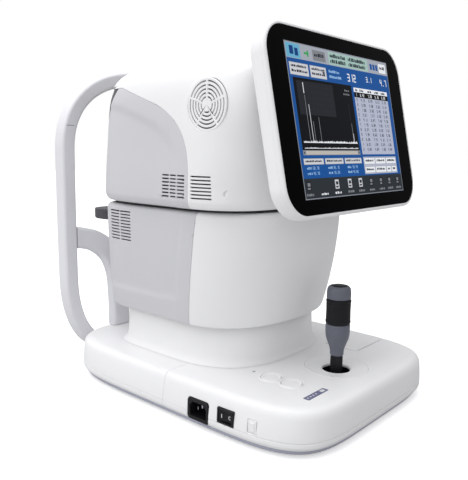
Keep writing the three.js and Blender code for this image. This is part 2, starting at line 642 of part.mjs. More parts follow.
function buildHeadrest() {
  const { halfWidth, top, shoulder, ankle, foot } = RING;
  const quarter = Math.PI / 2;
  const footReach = 66;
  const leftFoot = arc(-halfWidth + footReach, ankle, footReach, ankle - foot, 2.15, -quarter, -2 * quarter, 6);
  const dome = arc(0, shoulder, halfWidth, top - shoulder, 2.35, 2 * quarter, 0, 16);
  const rightFoot = arc(halfWidth - footReach, ankle, footReach, ankle - foot, 2.15, 0, -quarter, 6);
  const route = [...leftFoot, ...dome, ...rightFoot];
  piece('headrest_ring', sweep(route, roundedBox(RING.depth, RING.breadth, 4, 1), 44), RING_GREY());

  const armRoute = [[-122, 217, 184], [-110, 216, 182], [-92, 212, 176], [-74, 206, 160], [-65, 200, 134],
    [-63, 197, 96], [-63, 196, BASE.top + GAP]];
  [['left', 1], ['right', -1]].forEach(([side, sign]) => {
    const points = armRoute.map(([x, y, z]) => new THREE.Vector3(sign * x, y, z));
    const arm = sweep(points, roundedBox(17, 30, 5, 1), 16);
    piece(`support_arm_${side}`, intersect(arm, box([-121.2, 121.2], [150, 240], [BASE.top + GAP, 260])), RING_GREY());
  });
  piece('chinrest_housing', subtract(
    slab(roundedBox(94, 22, 6, 3), 96, 165).translate(0, 198, 0),
    rod(7.4, 200, 'z', [0, 198, 150], 20),
  ), RING_GREY());
  piece('chinrest_column', rod(7, 88, 'z', [0, 198, 152], 20), STEEL());
  piece('chinrest_bracket', slab(roundedBox(34, 56, 8, 3), 196 + GAP, 203).translate(0, 214, 0), DARK_GREY());
  piece('chin_cup', chinCup(), DARK_GREY());
  piece('forehead_pad', slab(roundedBox(66, 13, 5), 388, 410).translate(0, RING.y + RING.depth / 2 + 6.8, 0), RUBBER());
}

// A shallow dish, open towards the patient, with a raised rim behind the chin
function chinCup() {
  const low = 203 + GAP;
  const body = slab(roundedBox(2 * CHIN.halfWidth, 52, 20, 5), low, CHIN.top).translate(0, CHIN.y, 0);
  const dish = new THREE.SphereGeometry(46, 24, 16).scale(0.95, 0.62, 0.3)
    .translate(0, CHIN.y + 6, CHIN.top + 2);
  return subtract(body, dish);
}

buildBaseCovers();
buildButtons();
buildPowerEntry();
buildPrinter();
buildJoystick();
buildCollarAndLift();
buildBodyCovers();
buildStages();
buildHeadCovers();
buildHeadInside();
buildMonitor();
buildHeadrest();

export default instrument;
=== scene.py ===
"""Looks of a tabletop ophthalmic instrument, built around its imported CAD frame.

Shapes are made in millimetres in the design's own frame: X to the operator's right, -Y towards
the operator, +Y towards the patient, Z up. piece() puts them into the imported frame, in metres.
"""
import math
import random
from collections import namedtuple

import bmesh
import bpy
import numpy as np
from mathutils import Matrix, Vector


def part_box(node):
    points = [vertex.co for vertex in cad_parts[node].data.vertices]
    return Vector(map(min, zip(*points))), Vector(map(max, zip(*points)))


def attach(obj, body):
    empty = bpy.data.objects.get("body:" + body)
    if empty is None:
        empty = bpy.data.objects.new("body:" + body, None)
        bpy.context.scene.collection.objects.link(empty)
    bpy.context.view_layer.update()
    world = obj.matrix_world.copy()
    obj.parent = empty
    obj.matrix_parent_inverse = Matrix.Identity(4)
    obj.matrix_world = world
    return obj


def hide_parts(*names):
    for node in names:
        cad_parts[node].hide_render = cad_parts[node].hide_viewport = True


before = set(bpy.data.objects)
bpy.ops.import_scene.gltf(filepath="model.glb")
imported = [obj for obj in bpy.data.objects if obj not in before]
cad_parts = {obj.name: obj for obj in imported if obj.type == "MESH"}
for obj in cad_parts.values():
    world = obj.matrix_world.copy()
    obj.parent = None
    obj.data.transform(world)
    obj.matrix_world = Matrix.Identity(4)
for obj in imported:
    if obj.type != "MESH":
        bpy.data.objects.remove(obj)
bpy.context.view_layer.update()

MM = 0.001
DESIGN_SHIFT_Y = -30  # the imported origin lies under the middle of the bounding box
TO_FRAME = Matrix.Scale(MM, 4) @ Matrix.Translation((0, DESIGN_SHIFT_Y, 0))


def cad(node):
    """The lowest and highest corner of a CAD node, in design millimetres."""
    low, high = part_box(node)
    back = TO_FRAME.inverted()
    return back @ low, back @ high


def middle(node):
    low, high = cad(node)
    return (low + high) / 2


# Driving dimensions, as in the CAD source
WALL = 3.0
GAP = 0.3
OUTLINE_COUNT = 176
FINE_COUNT = 320  # for covers whose walls are pressed in
SCREEN = {"y": -145, "z": 339, "tilt_back": 11.8, "width": 272, "height": 192}
HOUSING = {"width": 280, "height": 200, "depth": 30}
RING = {
    "half": 131.5, "depth": 22, "breadth": 20,
    "top": 407, "shoulder": 300, "ankle": 130, "foot": 22, "reach": 66,
}
EYE_LINE = 338
SIDES = ((-1, "left"), (1, "right"))


# ---------------------------------------------------------------------------- materials
def srgb(red, green, blue):
    """An 8-bit screen colour as linear RGBA."""
    def linear(value):
        value /= 255
        return value / 12.92 if value <= 0.04045 else ((value + 0.055) / 1.055) ** 2.4
    return (linear(red), linear(green), linear(blue), 1)


def add(tree, kind, links=(), **values):
    """A new node with its properties or socket values set, and its inputs linked."""
    new = tree.nodes.new(kind)
    for key, value in values.items():
        if hasattr(new, key):
            setattr(new, key, value)
        else:
            new.inputs[key.replace("_", " ")].default_value = value
    for socket, source in dict(links).items():
        tree.links.new(source, new.inputs[socket])
    return new


def shade(colour, share):
    return tuple(share * c for c in colour[:3]) + (1,)


def mixed(tree, factor, first, second):
    """The output of a Mix node that blends two colours: its sockets 6 and 7 are the colours."""
    blend = add(tree, "ShaderNodeMix", {"Factor": factor}, data_type="RGBA")
    blend.inputs[6].default_value = first
    blend.inputs[7].default_value = second
    return blend.outputs[2]


def surface(name, colour, roughness, metallic=0.0, mottle=0.04, mottle_scale=25.0, grain=1400.0,
            bump=0.06, spread=0.06, stretch=(1, 1, 1), coat=0.0, specular=0.5):
    """A Principled material with fine grain, faint colour mottle and uneven gloss."""
    material = bpy.data.materials.new(name)
    material.use_nodes = True
    tree = material.node_tree
    shader = tree.nodes["Principled BSDF"]
    shader.inputs["Metallic"].default_value = metallic
    shader.inputs["Coat Weight"].default_value = coat
    shader.inputs["Coat Roughness"].default_value = 0.08
    shader.inputs["Specular IOR Level"].default_value = specular
    place = add(tree, "ShaderNodeTexCoord").outputs["Object"]
    scaled = add(tree, "ShaderNodeMapping", {"Vector": place}, Scale=stretch).outputs["Vector"]
    broad = add(tree, "ShaderNodeTexNoise", {"Vector": place}, Scale=mottle_scale, Detail=3.0)
    mottled = mixed(tree, broad.outputs["Fac"], shade(colour, 1 - mottle), colour)
    tree.links.new(mottled, shader.inputs["Base Color"])
    fine = add(tree, "ShaderNodeTexNoise", {"Vector": scaled}, Scale=grain, Detail=2.0)
    gloss = add(tree, "ShaderNodeMapRange", {"Value": fine.outputs["Fac"]})
    gloss.inputs["To Min"].default_value = max(0.02, roughness - spread)
    gloss.inputs["To Max"].default_value = min(1.0, roughness + spread)
    tree.links.new(gloss.outputs["Result"], shader.inputs["Roughness"])
    if bump:
        relief = add(tree, "ShaderNodeBump", {"Height": fine.outputs["Fac"]})
        relief.inputs["Strength"].default_value = bump
        relief.inputs["Distance"].default_value = 0.3 * MM
        tree.links.new(relief.outputs["Normal"], shader.inputs["Normal"])
    return material


def lit(name, colour, strength):
    """A display colour: light from fine vertical stripes of pixels under a dark, glossy face."""
    material = surface(name, srgb(8, 8, 10), 0.25, bump=0.0, mottle_scale=60.0, specular=0.06)
    tree = material.node_tree
    shader = tree.nodes["Principled BSDF"]
    place = add(tree, "ShaderNodeTexCoord").outputs["Object"]
    stripes = add(tree, "ShaderNodeTexWave", {"Vector": place}, Scale=600.0)
    striped = mixed(tree, stripes.outputs["Fac"], shade(colour, 0.9), colour)
    tree.links.new(striped, shader.inputs["Emission Color"])
    shader.inputs["Emission Strength"].default_value = strength
    return material


SHELL_WHITE = surface("shell_white", srgb(243, 243, 244), 0.36, mottle=0.02, specular=0.35)
PANEL_GREY = surface("panel_grey", srgb(210, 210, 214), 0.42, mottle=0.03, bump=0.1, specular=0.35)
RING_GREY = surface("ring_grey", srgb(232, 232, 236), 0.5, mottle=0.03, bump=0.08, specular=0.25)
PAN_GREY = surface("pan_grey", srgb(178, 180, 196), 0.5, mottle=0.05, bump=0.12)
DARK_GREY = surface("dark_grey", srgb(74, 73, 80), 0.5, mottle=0.08, bump=0.14)
STICK_GREY = surface("stick_grey", srgb(99, 102, 114), 0.46, mottle=0.06, bump=0.14)
BLACK_PLASTIC = surface("black_plastic", srgb(24, 24, 27), 0.4, mottle=0.15, bump=0.12, specular=0.25)
RUBBER = surface("rubber", srgb(30, 30, 33), 0.72, mottle=0.2, bump=0.3, grain=1000.0)
GRIP_RUBBER = surface("grip_rubber", srgb(32, 32, 35), 0.55, mottle=0.15, bump=0.2, grain=1500.0,
                      specular=0.15)
STEEL = surface("steel", srgb(196, 199, 204), 0.26, metallic=1.0, mottle=0.08, stretch=(1, 1, 0.06))
ALUMINIUM = surface("aluminium", srgb(178, 181, 186), 0.42, metallic=1.0, mottle=0.1,
                    stretch=(0.08, 1, 1), bump=0.12)
PAPER = surface("paper", srgb(244, 242, 235), 0.9, mottle=0.05, bump=0.2, grain=700.0)
GLASS_BLACK = surface("screen_glass", srgb(3, 3, 4), 0.12, mottle=0.1, bump=0.0, spread=0.02,
                      specular=0.03)
LENS_GLASS = surface("lens_glass", srgb(28, 20, 58), 0.04, mottle=0.3, bump=0.0, spread=0.02,
                     mottle_scale=14.0, coat=1.0, specular=0.9)
PAD_SKIN = surface("pad_skin", srgb(48, 48, 54), 0.6, mottle=0.12, bump=0.5, grain=520.0)
MARK_WHITE = surface("mark_white", srgb(225, 225, 228), 0.5, mottle=0.05)
MARK_GREY = surface("mark_grey", srgb(120, 122, 132), 0.5, mottle=0.06)
LABEL_BLUE = surface("label_blue", srgb(104, 106, 138), 0.4, mottle=0.12, mottle_scale=120.0)
LAMP = surface("lamp", srgb(176, 184, 186), 0.2, mottle=0.1, coat=0.6)
FILTER_GREY = surface("filter_foam", srgb(150, 150, 158), 0.9, mottle=0.25, mottle_scale=300.0, bump=0.6,
                      grain=900.0)


# ---------------------------------------------------------------------------- mesh helpers
def make(name, verts, faces):
    """An object from points and faces, with doubled points merged and normals facing out."""
    mesh = bpy.data.meshes.new(name)
    mesh.from_pydata([tuple(map(float, v)) for v in verts], [], faces)
    work = bmesh.new()
    work.from_mesh(mesh)
    bmesh.ops.remove_doubles(work, verts=work.verts, dist=1e-4)
    bmesh.ops.recalc_face_normals(work, faces=work.faces)
    work.to_mesh(mesh)
    work.free()
    obj = bpy.data.objects.new(name, mesh)
    bpy.context.scene.collection.objects.link(obj)
    return obj


def skin(name, rings, wrap=False):
    """A closed mesh through rings of equal length: wrapped round, or capped at both ends."""
    count = len(rings[0])
    verts = [p for ring in rings for p in ring]
    faces = []
    for r in range(len(rings) if wrap else len(rings) - 1):
        low = r * count
        high = (r + 1) % len(rings) * count
        for i in range(count):
            j = (i + 1) % count
            faces.append((low + i, low + j, high + j, high + i))
    if not wrap:
        faces.append(tuple(reversed(range(count))))
        faces.append(tuple(range(len(verts) - count, len(verts))))
    return make(name, verts, faces)


def gather(name, objects):
    """Objects joined into one mesh, as separate bodies."""
    work = bmesh.new()
    for obj in objects:
        work.from_mesh(obj.data)
        bpy.data.objects.remove(obj)
    mesh = bpy.data.meshes.new(name)
    work.to_mesh(mesh)
    work.free()
    joined = bpy.data.objects.new(name, mesh)
    bpy.context.scene.collection.objects.link(joined)
    return joined


def copy_of(obj, name):
    new = bpy.data.objects.new(name, obj.data.copy())
    bpy.context.scene.collection.objects.link(new)
    return new


def combine(target, tool, operation="DIFFERENCE", keep_tool=False):
    """Target cut by, joined with or limited to tool. The tool is used up unless kept."""
    modifier = target.modifiers.new("combine", "BOOLEAN")
    modifier.operation = operation
    modifier.solver = "MANIFOLD"
    modifier.object = tool
    evaluated = target.evaluated_get(bpy.context.evaluated_depsgraph_get())
    mesh = bpy.data.meshes.new_from_object(evaluated)
    target.modifiers.clear()
    target.data = mesh
    if not len(mesh.polygons):
        raise ValueError(f"{target.name}: {operation} left nothing")
    if not keep_tool:
        bpy.data.objects.remove(tool)
    return target


def cut(target, *tools):
    for tool in tools:
        combine(target, tool)
    return target


def tidy(obj, distance=0.2):
    """Slivers left by cuts are merged away."""
    work = bmesh.new()
    work.from_mesh(obj.data)
    bmesh.ops.remove_doubles(work, verts=work.verts, dist=distance)
    bmesh.ops.dissolve_degenerate(work, edges=work.edges, dist=distance)
    work.to_mesh(obj.data)
    work.free()
    return obj


def dent(obj, border, depth, soft):
    """Side walls pressed in smoothly inside a closed (y, z) border; soft is the slope's width."""
    count = len(obj.data.vertices)
    spots = np.empty(count * 3)
    obj.data.vertices.foreach_get("co", spots)
    spots = spots.reshape(count, 3)
    place = spots[:, None, 1:]
    start = np.array(border)[None]
    run = np.roll(start, -1, axis=1) - start
    share = np.clip(((place - start) * run).sum(axis=2) / (run ** 2).sum(axis=2), 0, 1)
    nearest = np.linalg.norm(place - start - share[..., None] * run, axis=2).min(axis=1)
    straddles = (start[..., 1] > place[..., 1]) != (start[..., 1] + run[..., 1] > place[..., 1])
    rise = np.where(run[..., 1] == 0, 1, run[..., 1])
    crossing = start[..., 0] + (place[..., 1] - start[..., 1]) / rise * run[..., 0]
    inside = (straddles & (place[..., 0] < crossing)).sum(axis=1) % 2 == 1
    step = np.clip(nearest / soft, 0, 1)
    spots[:, 0] -= np.sign(spots[:, 0]) * depth * inside * step * step * (3 - 2 * step)
    obj.data.vertices.foreach_set("co", spots.ravel())
    return obj


def piece(obj, body, material, stands_for=(), matrix=None, edge=0.0, smooth=40):
    """Puts a design-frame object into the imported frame, on its body, with its material."""
    if matrix:
        obj.data.transform(matrix)
    obj.data.transform(TO_FRAME)
    obj.data.update()
    if not any(obj.data.materials):
        obj.data.materials.clear()
        obj.data.materials.append(material)
    if edge:
        bevel = obj.modifiers.new("edge", "BEVEL")
        bevel.width = edge * MM
        bevel.segments = 2
        bevel.limit_method = "ANGLE"
        bevel.angle_limit = math.radians(33)
        bevel.use_clamp_overlap = False
        smooth = 62
    obj.data.polygons.foreach_set("use_smooth", [True] * len(obj.data.polygons))
    obj.data.set_sharp_from_angle(angle=math.radians(smooth))
    weighted = obj.modifiers.new("normals", "WEIGHTED_NORMAL")
    weighted.keep_sharp = True
    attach(obj, body)
    if stands_for:
        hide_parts(*stands_for)
    return obj


def rounded(points, radius, steps=4, closed=False):
    """A line's corners turned into arcs; a point's own third number overrides the radius."""
    result = []
    count = len(points)
    for i, point in enumerate(points):
        here = Vector(point[:2])
        size = point[2] if len(point) > 2 else radius
        if not size or (not closed and i in (0, count - 1)):
            result.append(tuple(here))
            continue
        before = Vector(points[i - 1][:2]) - here
        after = Vector(points[(i + 1) % count][:2]) - here
        reach = min(size, 0.48 * before.length, 0.48 * after.length)
        start = here + before.normalized() * reach
        end = here + after.normalized() * reach
        for step in range(steps + 1):
            t = step / steps
            result.append(tuple(start * (1 - t) ** 2 + here * 2 * t * (1 - t) + end * t ** 2))
    return result


def turned(name, profile, segments=64, closed=False, radius=0.0):
    """A profile of [radius, height] pairs turned about Z, its corners rounded by radius."""
    line = rounded(profile, radius, 3, closed) if radius else profile
    turns = [2 * math.pi * i / segments for i in range(segments)]
    rings = [[(r * math.cos(a), r * math.sin(a), z) for a in turns] for r, z in (p[:2] for p in line)]
    return skin(name, rings, wrap=closed)


ALONG_X = Matrix.Rotation(math.radians(90), 4, "Y")
ALONG_Y = Matrix.Rotation(math.radians(-90), 4, "X")
INTO_LEFT_WALL = Matrix(((0, 0, 1, 0), (1, 0, 0, 0), (0, 1, 0, 0), (0, 0, 0, 1)))  # Z goes in, X back, Y up


def moved(obj, x=0, y=0, z=0, turn=None):
    obj.data.transform(Matrix.Translation((x, y, z)) @ (turn or Matrix.Identity(4)))
    return obj


def block(x, y, z, name="tool"):
    """A box between pairs of limits."""
    rings = [[(x[0], y[0], h), (x[1], y[0], h), (x[1], y[1], h), (x[0], y[1], h)] for h in z]
    return skin(name, rings)


def rod(radius, low, high, segments, edge=0.0):
    """A cylinder along Z, its rims rounded by edge."""
    return turned("tool", [(0, low), (radius, low), (radius, high), (0, high)], segments, radius=edge)


def round_rect(width, height, radius, steps=6):
    points = []
    for corner in range(4):
        sign_x = 1 if corner in (0, 3) else -1
        sign_y = 1 if corner < 2 else -1
        for step in range(steps + 1):
            angle = (corner + step / steps) * math.pi / 2
            points.append((
                sign_x * (width / 2 - radius) + radius * math.cos(angle),
                sign_y * (height / 2 - radius) + radius * math.sin(angle),
            ))
    return points


def pillow(name, width, height, radius, low, high, edge_low=0.0, edge_high=0.0, steps=4):
    """A rounded rectangle from low to high in Z, its rims rounded over by the given edges."""
    levels = []
    for z, edge, sign in ((low, edge_low, 1), (high, edge_high, -1)):
        turns = [0.5 * math.pi * i / steps for i in range(steps + 1)] if edge else [0.5 * math.pi]
        part = [(z + sign * edge * (1 - math.cos(t)), edge * (1 - math.sin(t))) for t in turns]
        levels += part if sign > 0 else reversed(part)
    return skin(name, [
        [(px, py, z) for px, py in
         round_rect(width - 2 * inset, height - 2 * inset, max(radius - inset, 0.2), 6)]
        for z, inset in levels
    ])


def prism(points, axis, low, high, name="tool"):
    """A closed outline drawn across an axis and drawn out along it."""
    def spot(a, b, c):
        return {"x": (c, a, b), "y": (a, c, b), "z": (a, b, c)}[axis]
    return skin(name, [[spot(a, b, c) for a, b in points] for c in (low, high)])


def bezier(a, b, c, d, steps=24):
    line = []
    for i in range(steps + 1):
        t = i / steps
        line.append(tuple(
            p * (1 - t) ** 3 + 3 * q * t * (1 - t) ** 2 + 3 * r * t * t * (1 - t) + s * t ** 3
            for p, q, r, s in zip(a, b, c, d)
        ))
    return line


def spline(points, steps=8):
    """A centripetal Catmull-Rom curve through points."""
    knots = [Vector(p) for p in points]
    knots = [2 * knots[0] - knots[1], *knots, 2 * knots[-1] - knots[-2]]
    line = []
    for i in range(1, len(knots) - 2):
        p = knots[i - 1:i + 3]
        t = [0.0]
        for a, b in zip(p, p[1:]):
            t.append(t[-1] + max((b - a).length, 1e-6) ** 0.5)
        for step in range(steps):
            u = t[1] + (t[2] - t[1]) * step / steps
            a1, a2, a3 = (p[k].lerp(p[k + 1], (u - t[k]) / (t[k + 1] - t[k])) for k in range(3))
            b1 = a1.lerp(a2, (u - t[0]) / (t[2] - t[0]))
            b2 = a2.lerp(a3, (u - t[1]) / (t[3] - t[1]))
            line.append(b1.lerp(b2, (u - t[1]) / (t[2] - t[1])))
    line.append(knots[-2])
    return line


def sweep(name, path, section, side=Vector((0, 1, 0))):
    """A section carried along a path, its first axis kept towards side."""
    rings = []
    for i, point in enumerate(path):
        ahead = (path[min(i + 1, len(path) - 1)] - path[max(i - 1, 0)]).normalized()
        across = (side - ahead * side.dot(ahead)).normalized()
        up = ahead.cross(across)
        rings.append([point + across * u + up * v for u, v in section])
    return skin(name, rings)


# ---------------------------------------------------------------------------- lofted covers
Level = namedtuple("Level", "z half front back middle front_square back_square")
CORNER_WEIGHT = 90  # how many millimetres of outline one radian of turning counts for


def shrink(level, inset, drop=0.0):
    return level._replace(
        z=level.z - drop, half=level.half - inset, front=level.front + inset, back=level.back - inset,
    )


def outline(level, angles):
    """A superellipse whose front and back halves may differ."""
    cos, sin = np.round(np.cos(angles), 9), np.round(np.sin(angles), 9)
    square = np.where(sin > 0, level.back_square, level.front_square)
    reach = np.where(sin > 0, level.back - level.middle, level.middle - level.front)
    x = level.half * np.sign(cos) * np.abs(cos) ** (2 / square)
    y = level.middle + reach * np.sign(sin) * np.abs(sin) ** (2 / square)
    return np.column_stack([x, y])


def outline_angles(level, count=OUTLINE_COUNT):
    """Angles that space an outline's points evenly, and closer together where it turns."""
    chosen = []
    for quarter in range(4):
        fine = np.linspace(quarter, quarter + 1, 1500) * math.pi / 2
        step = np.diff(outline(level, fine), axis=0)
        heading = np.unwrap(np.arctan2(step[:, 1], step[:, 0]))
        turning = np.abs(np.diff(heading, prepend=heading[0]))
        weight = np.concatenate([[0], np.cumsum(np.linalg.norm(step, axis=1) + CORNER_WEIGHT * turning)])
        chosen.append(np.interp(np.arange(count // 4) / (count // 4) * weight[-1], weight, fine))
    return np.concatenate(chosen)


def refine(levels, spacing=5.0):
    """Levels joined by a monotone cubic, so that nothing reaches past the levels given."""
    rows = np.array(levels, float)
    chord = np.linalg.norm(np.diff(rows[:, :4], axis=0), axis=1)
    slope = np.diff(rows, axis=0) / chord[:, None]
    tangent = np.zeros_like(rows)
    tangent[0], tangent[-1] = slope[0], slope[-1]
    for i in range(1, len(rows) - 1):
        before, after = slope[i - 1], slope[i]
        near, far = 2 * chord[i] + chord[i - 1], chord[i] + 2 * chord[i - 1]
        rising = before * after > 1e-12
        safe_before, safe_after = np.where(rising, before, 1), np.where(rising, after, 1)
        tangent[i] = np.where(rising, (near + far) / (near / safe_before + far / safe_after), 0)
    result = []
    for i, length in enumerate(chord):
        steps = max(3, round(length / spacing))
        for t in np.arange(steps) / steps:
            basis = (2 * t ** 3 - 3 * t ** 2 + 1, t ** 3 - 2 * t ** 2 + t,
                     3 * t ** 2 - 2 * t ** 3, t ** 3 - t ** 2)
            result.append(basis[0] * rows[i] + basis[1] * length * tangent[i]
                          + basis[2] * rows[i + 1] + basis[3] * length * tangent[i + 1])
    result.append(rows[-1])
    return [Level(*row) for row in result]


def loft(name, levels, angles):
    return skin(name, [[(x, y, level.z) for x, y in outline(level, angles)] for level in levels])


def open_ended(levels, below=0.0, above=0.0):
    """Levels carried straight on past their ends, so that a bore opens there."""
    result = list(levels)
    if below:
        result.insert(0, levels[0]._replace(z=levels[0].z - below))
    if above:
        result.append(levels[-1]._replace(z=levels[-1].z + above))
    return result


# ---------------------------------------------------------------------------- base
BASE_LEVELS = [Level(z, half, front, back, (front + back) / 2, 5.5, 5.5) for z, half, front, back in (
    (9.5, 152, -200, 204), (14, 154, -202, 206.5), (42, 150.5, -201.5, 208.2),
    (48, 148.5, -199.5, 206.5), (51, 145, -196, 203), (52, 140, -191, 198),
)]
BASE_TOP = 52
BASE_SEAM_Y = 0
INLET = {"y": (-73, -41), "z": (10, 35)}
SWITCH = {"y": (-109, -86), "z": (19, 36)}
PORT = {"y": (-137.5, -126.5), "z": (20, 34)}
WALL_X = -153.4
DISH_RADIUS = 38
LABEL_Y = -166


def opening_in_wall(limits, radius):
    """A rounded cutter through the base's left wall, with clearance round its piece."""
    y, z = limits["y"], limits["z"]
    shape = [(a + sum(y) / 2, b + sum(z) / 2) for a, b in
             round_rect(y[1] - y[0] + 2 * GAP, z[1] - z[0] + 2 * GAP, radius)]
    return prism(shape, "x", -160, -140)


def disc_cutter(radius, low, high, spot, segments=72):
    return moved(rod(radius, low, high, segments), *spot)


def build_base_covers():
    angles = outline_angles(BASE_LEVELS[1])
    outer = loft("shell", refine(BASE_LEVELS), angles)
    inside = [shrink(level, WALL) for level in BASE_LEVELS[:5]]
    inside[-1] = inside[-1]._replace(z=BASE_TOP - WALL)
    shell = cut(outer, loft("tool", open_ended(refine(inside), below=1), angles))
    # a fine groove runs round the wall above the pan
    groove = [level for level in refine(BASE_LEVELS, 1.0) if 17.0 < level.z < 19.5]
    grow = [shrink(groove[0], -4), shrink(groove[-1], -4)]
    keep = [
        shrink(groove[0], 0.5, 2),
        *[shrink(level, 0.5) for level in groove],
        shrink(groove[-1], 0.5, -2),
    ]
    cut(shell, cut(loft("tool", grow, angles), loft("tool", keep, angles)))
    cut(shell, opening_in_wall(INLET, 4), opening_in_wall(SWITCH, 0.6), opening_in_wall(PORT, 1.0))
    for button in ("chinrest_up_button", "chinrest_down_button"):
        spot = middle(button)
        cut(shell, disc_cutter(12.4, 40, 60, (spot.x, spot.y)))
    stick = middle("joystick_cap")
    door_low, door_high = cad("printer_door")
    cut(shell, disc_cutter(DISH_RADIUS, 40, 60, (stick.x, stick.y), 96))
    door = [(a + (door_low.x + door_high.x) / 2, b + (door_low.y + door_high.y - 1.0) / 2) for a, b in
            round_rect(door_high.x - door_low.x + 1.0, door_high.y - door_low.y + 0.6, 3.0)]
    cut(shell, prism(door, "z", 40, 60), block((-88, 88), (-40, 118), (45, 60)))
    front = combine(copy_of(shell, "base_front_shell"),
                    block((-200, 200), (-300, BASE_SEAM_Y - GAP / 2), (0, 80)), "INTERSECT")
    rear = combine(shell, block((-200, 200), (BASE_SEAM_Y + GAP / 2, 300), (0, 80)), "INTERSECT")
    rear.name = "base_rear_shell"
    for row in range(6):  # warm air leaves low on the rear wall
        cut(rear, block((-60, 60), (190, 220), (20 + row * 3.6, 21.6 + row * 3.6)))
    piece(tidy(front), "base", SHELL_WHITE, ["base_front_cover"], edge=0.5)
    piece(tidy(rear), "base", SHELL_WHITE, ["base_rear_cover"], edge=0.5)


def build_base_pan_and_feet():
    low, high = cad("base_pan")
    pan = Level(high.z, high.x, low.y, high.y, (low.y + high.y) / 2, 5.5, 5.5)
    angles = outline_angles(pan)
    levels = [shrink(pan, 3)._replace(z=low.z), shrink(pan, 1)._replace(z=low.z + 0.6),
              pan._replace(z=low.z + 1.8), pan]
    body = loft("base_pan_moulding", levels, angles)
    inner = shrink(pan, 4)
    cut(body, loft("tool", [inner._replace(z=low.z + 2), inner._replace(z=high.z + 1)], angles))
    for side in (-1, 1):  # cooling slots under the electronics
        for row in range(7):
            x = side * (40 + row * 8)
            cut(body, block((x - 1.5, x + 1.5), (70, 130), (0, 8)))
    piece(body, "base", PAN_GREY, ["base_pan"], edge=0.3)
    for corner in ("front_left", "front_right", "rear_left", "rear_right"):
        spot = middle(f"foot_{corner}")
        profile = [(0, 0.6), (9, 0.6), (9.6, 0), (12.4, 0), (13.6, 1.6), (13.8, 2.9), (0, 2.9)]
        foot = moved(turned(f"rubber_foot_{corner}", profile, 48, radius=0.5), spot.x, spot.y)
        piece(foot, "base", RUBBER, [f"foot_{corner}"])


def build_joystick_dish():
    """The shallow round well that the joystick stands in."""
    spot = middle("joystick_cap")
    profile = [
        (16.6, 46.4), (17.6, 46.4), (17.9, 48.0), (28.0, 49.0), (37.4, 49.4), (37.8, 50.0), (37.8, 51.7),
        (37.3, 52.0), (36.0, 51.9), (33.5, 51.3), (28, 50.8), (23, 50.4), (18.4, 50.0), (16.9, 49.2),
        (16.6, 48.2),
    ]
    dish = turned("joystick_dish", profile, 96, closed=True, radius=0.9)
    piece(moved(dish, spot.x, spot.y), "base", SHELL_WHITE)


def build_buttons():
    for name, body in (("chinrest_up_button", "up_button"), ("chinrest_down_button", "down_button")):
        spot = middle(name)
        profile = [(0, -4.5), (4, -4.5), (4, -2), (11.9, -2), (11.9, 0.2), (11.2, 0.9), (9.8, 0.9),
                   (8.8, 0.35), (4, 0.45), (0.01, 0.5)]
        cap = moved(turned(f"{name}_cap", profile, 64, radius=0.45), spot.x, spot.y, BASE_TOP)
        piece(cap, body, SHELL_WHITE, [name])
        ring = turned(f"{name}_ring", [(12.5, -0.6), (14.6, -0.6), (14.4, 0.55), (13.7, 0.95), (12.7, 0.6)],
                      64, closed=True, radius=0.3)
        piece(moved(ring, spot.x, spot.y, BASE_TOP), "base", SHELL_WHITE)
    lamp = turned("status_lamp", [(0, -1), (1.9, -1), (1.9, 0.3), (1.4, 0.7), (0.01, 0.85)], 32, radius=0.3)
    piece(moved(lamp, -79, -76, BASE_TOP), "base", LAMP)
    strip = moved(pillow("label_strip", 38, 8, 1.6, 0, 0.35, 0, 0.2), -84, LABEL_Y, BASE_TOP - 0.12)
    piece(strip, "base", LABEL_BLUE)
    marks = [pillow("mark", 2.2, 2.2, 1.0, 0, 0.4) for _ in range(4)] + [pillow("mark", 7, 4.4, 1.2, 0, 0.4)]
    for mark, x in zip(marks, (-99, -94, -89, -84, -72)):
        moved(mark, x, LABEL_Y, BASE_TOP - 0.1)
    piece(gather("label_marks", marks), "base", MARK_WHITE)


def build_power_inlet():
    inlet_y, inlet_z = sum(INLET["y"]) / 2, sum(INLET["z"]) / 2
    to_wall = Matrix.Translation((WALL_X, inlet_y, inlet_z)) @ INTO_LEFT_WALL
    plate = pillow("power_inlet_socket", 32, 25, 4, 0, 5, 0.8, 0)
    combine(plate, block((-13, 13), (-10.5, 10.5), (4, 23.4)), "UNION")
    keyed = rounded([(-12, -8, 1), (12, -8, 1), (12, 3.5, 1.2), (8, 8, 1.2), (-8, 8, 1.2), (-12, 3.5, 1.2)],
                    1, closed=True)
    cut(plate, prism(keyed, "z", -3, 17))
    funnel = [(a * 1.09, b * 1.12) for a, b in keyed]
    cut(plate, skin("tool", [[(a, b, -0.5) for a, b in funnel], [(a, b, 1.6) for a, b in keyed]]))
    piece(plate, "base", BLACK_PLASTIC, ["power_inlet"], matrix=to_wall, edge=0.25)
    pins = [moved(pillow("pin", 2, 4, 0.6, 7.5, 19, 0.5, 0), x, y)
            for x, y in ((-7, -1.5), (0, 2), (7, -1.5))]
    piece(gather("inlet_pins", pins), "base", STEEL, matrix=to_wall)


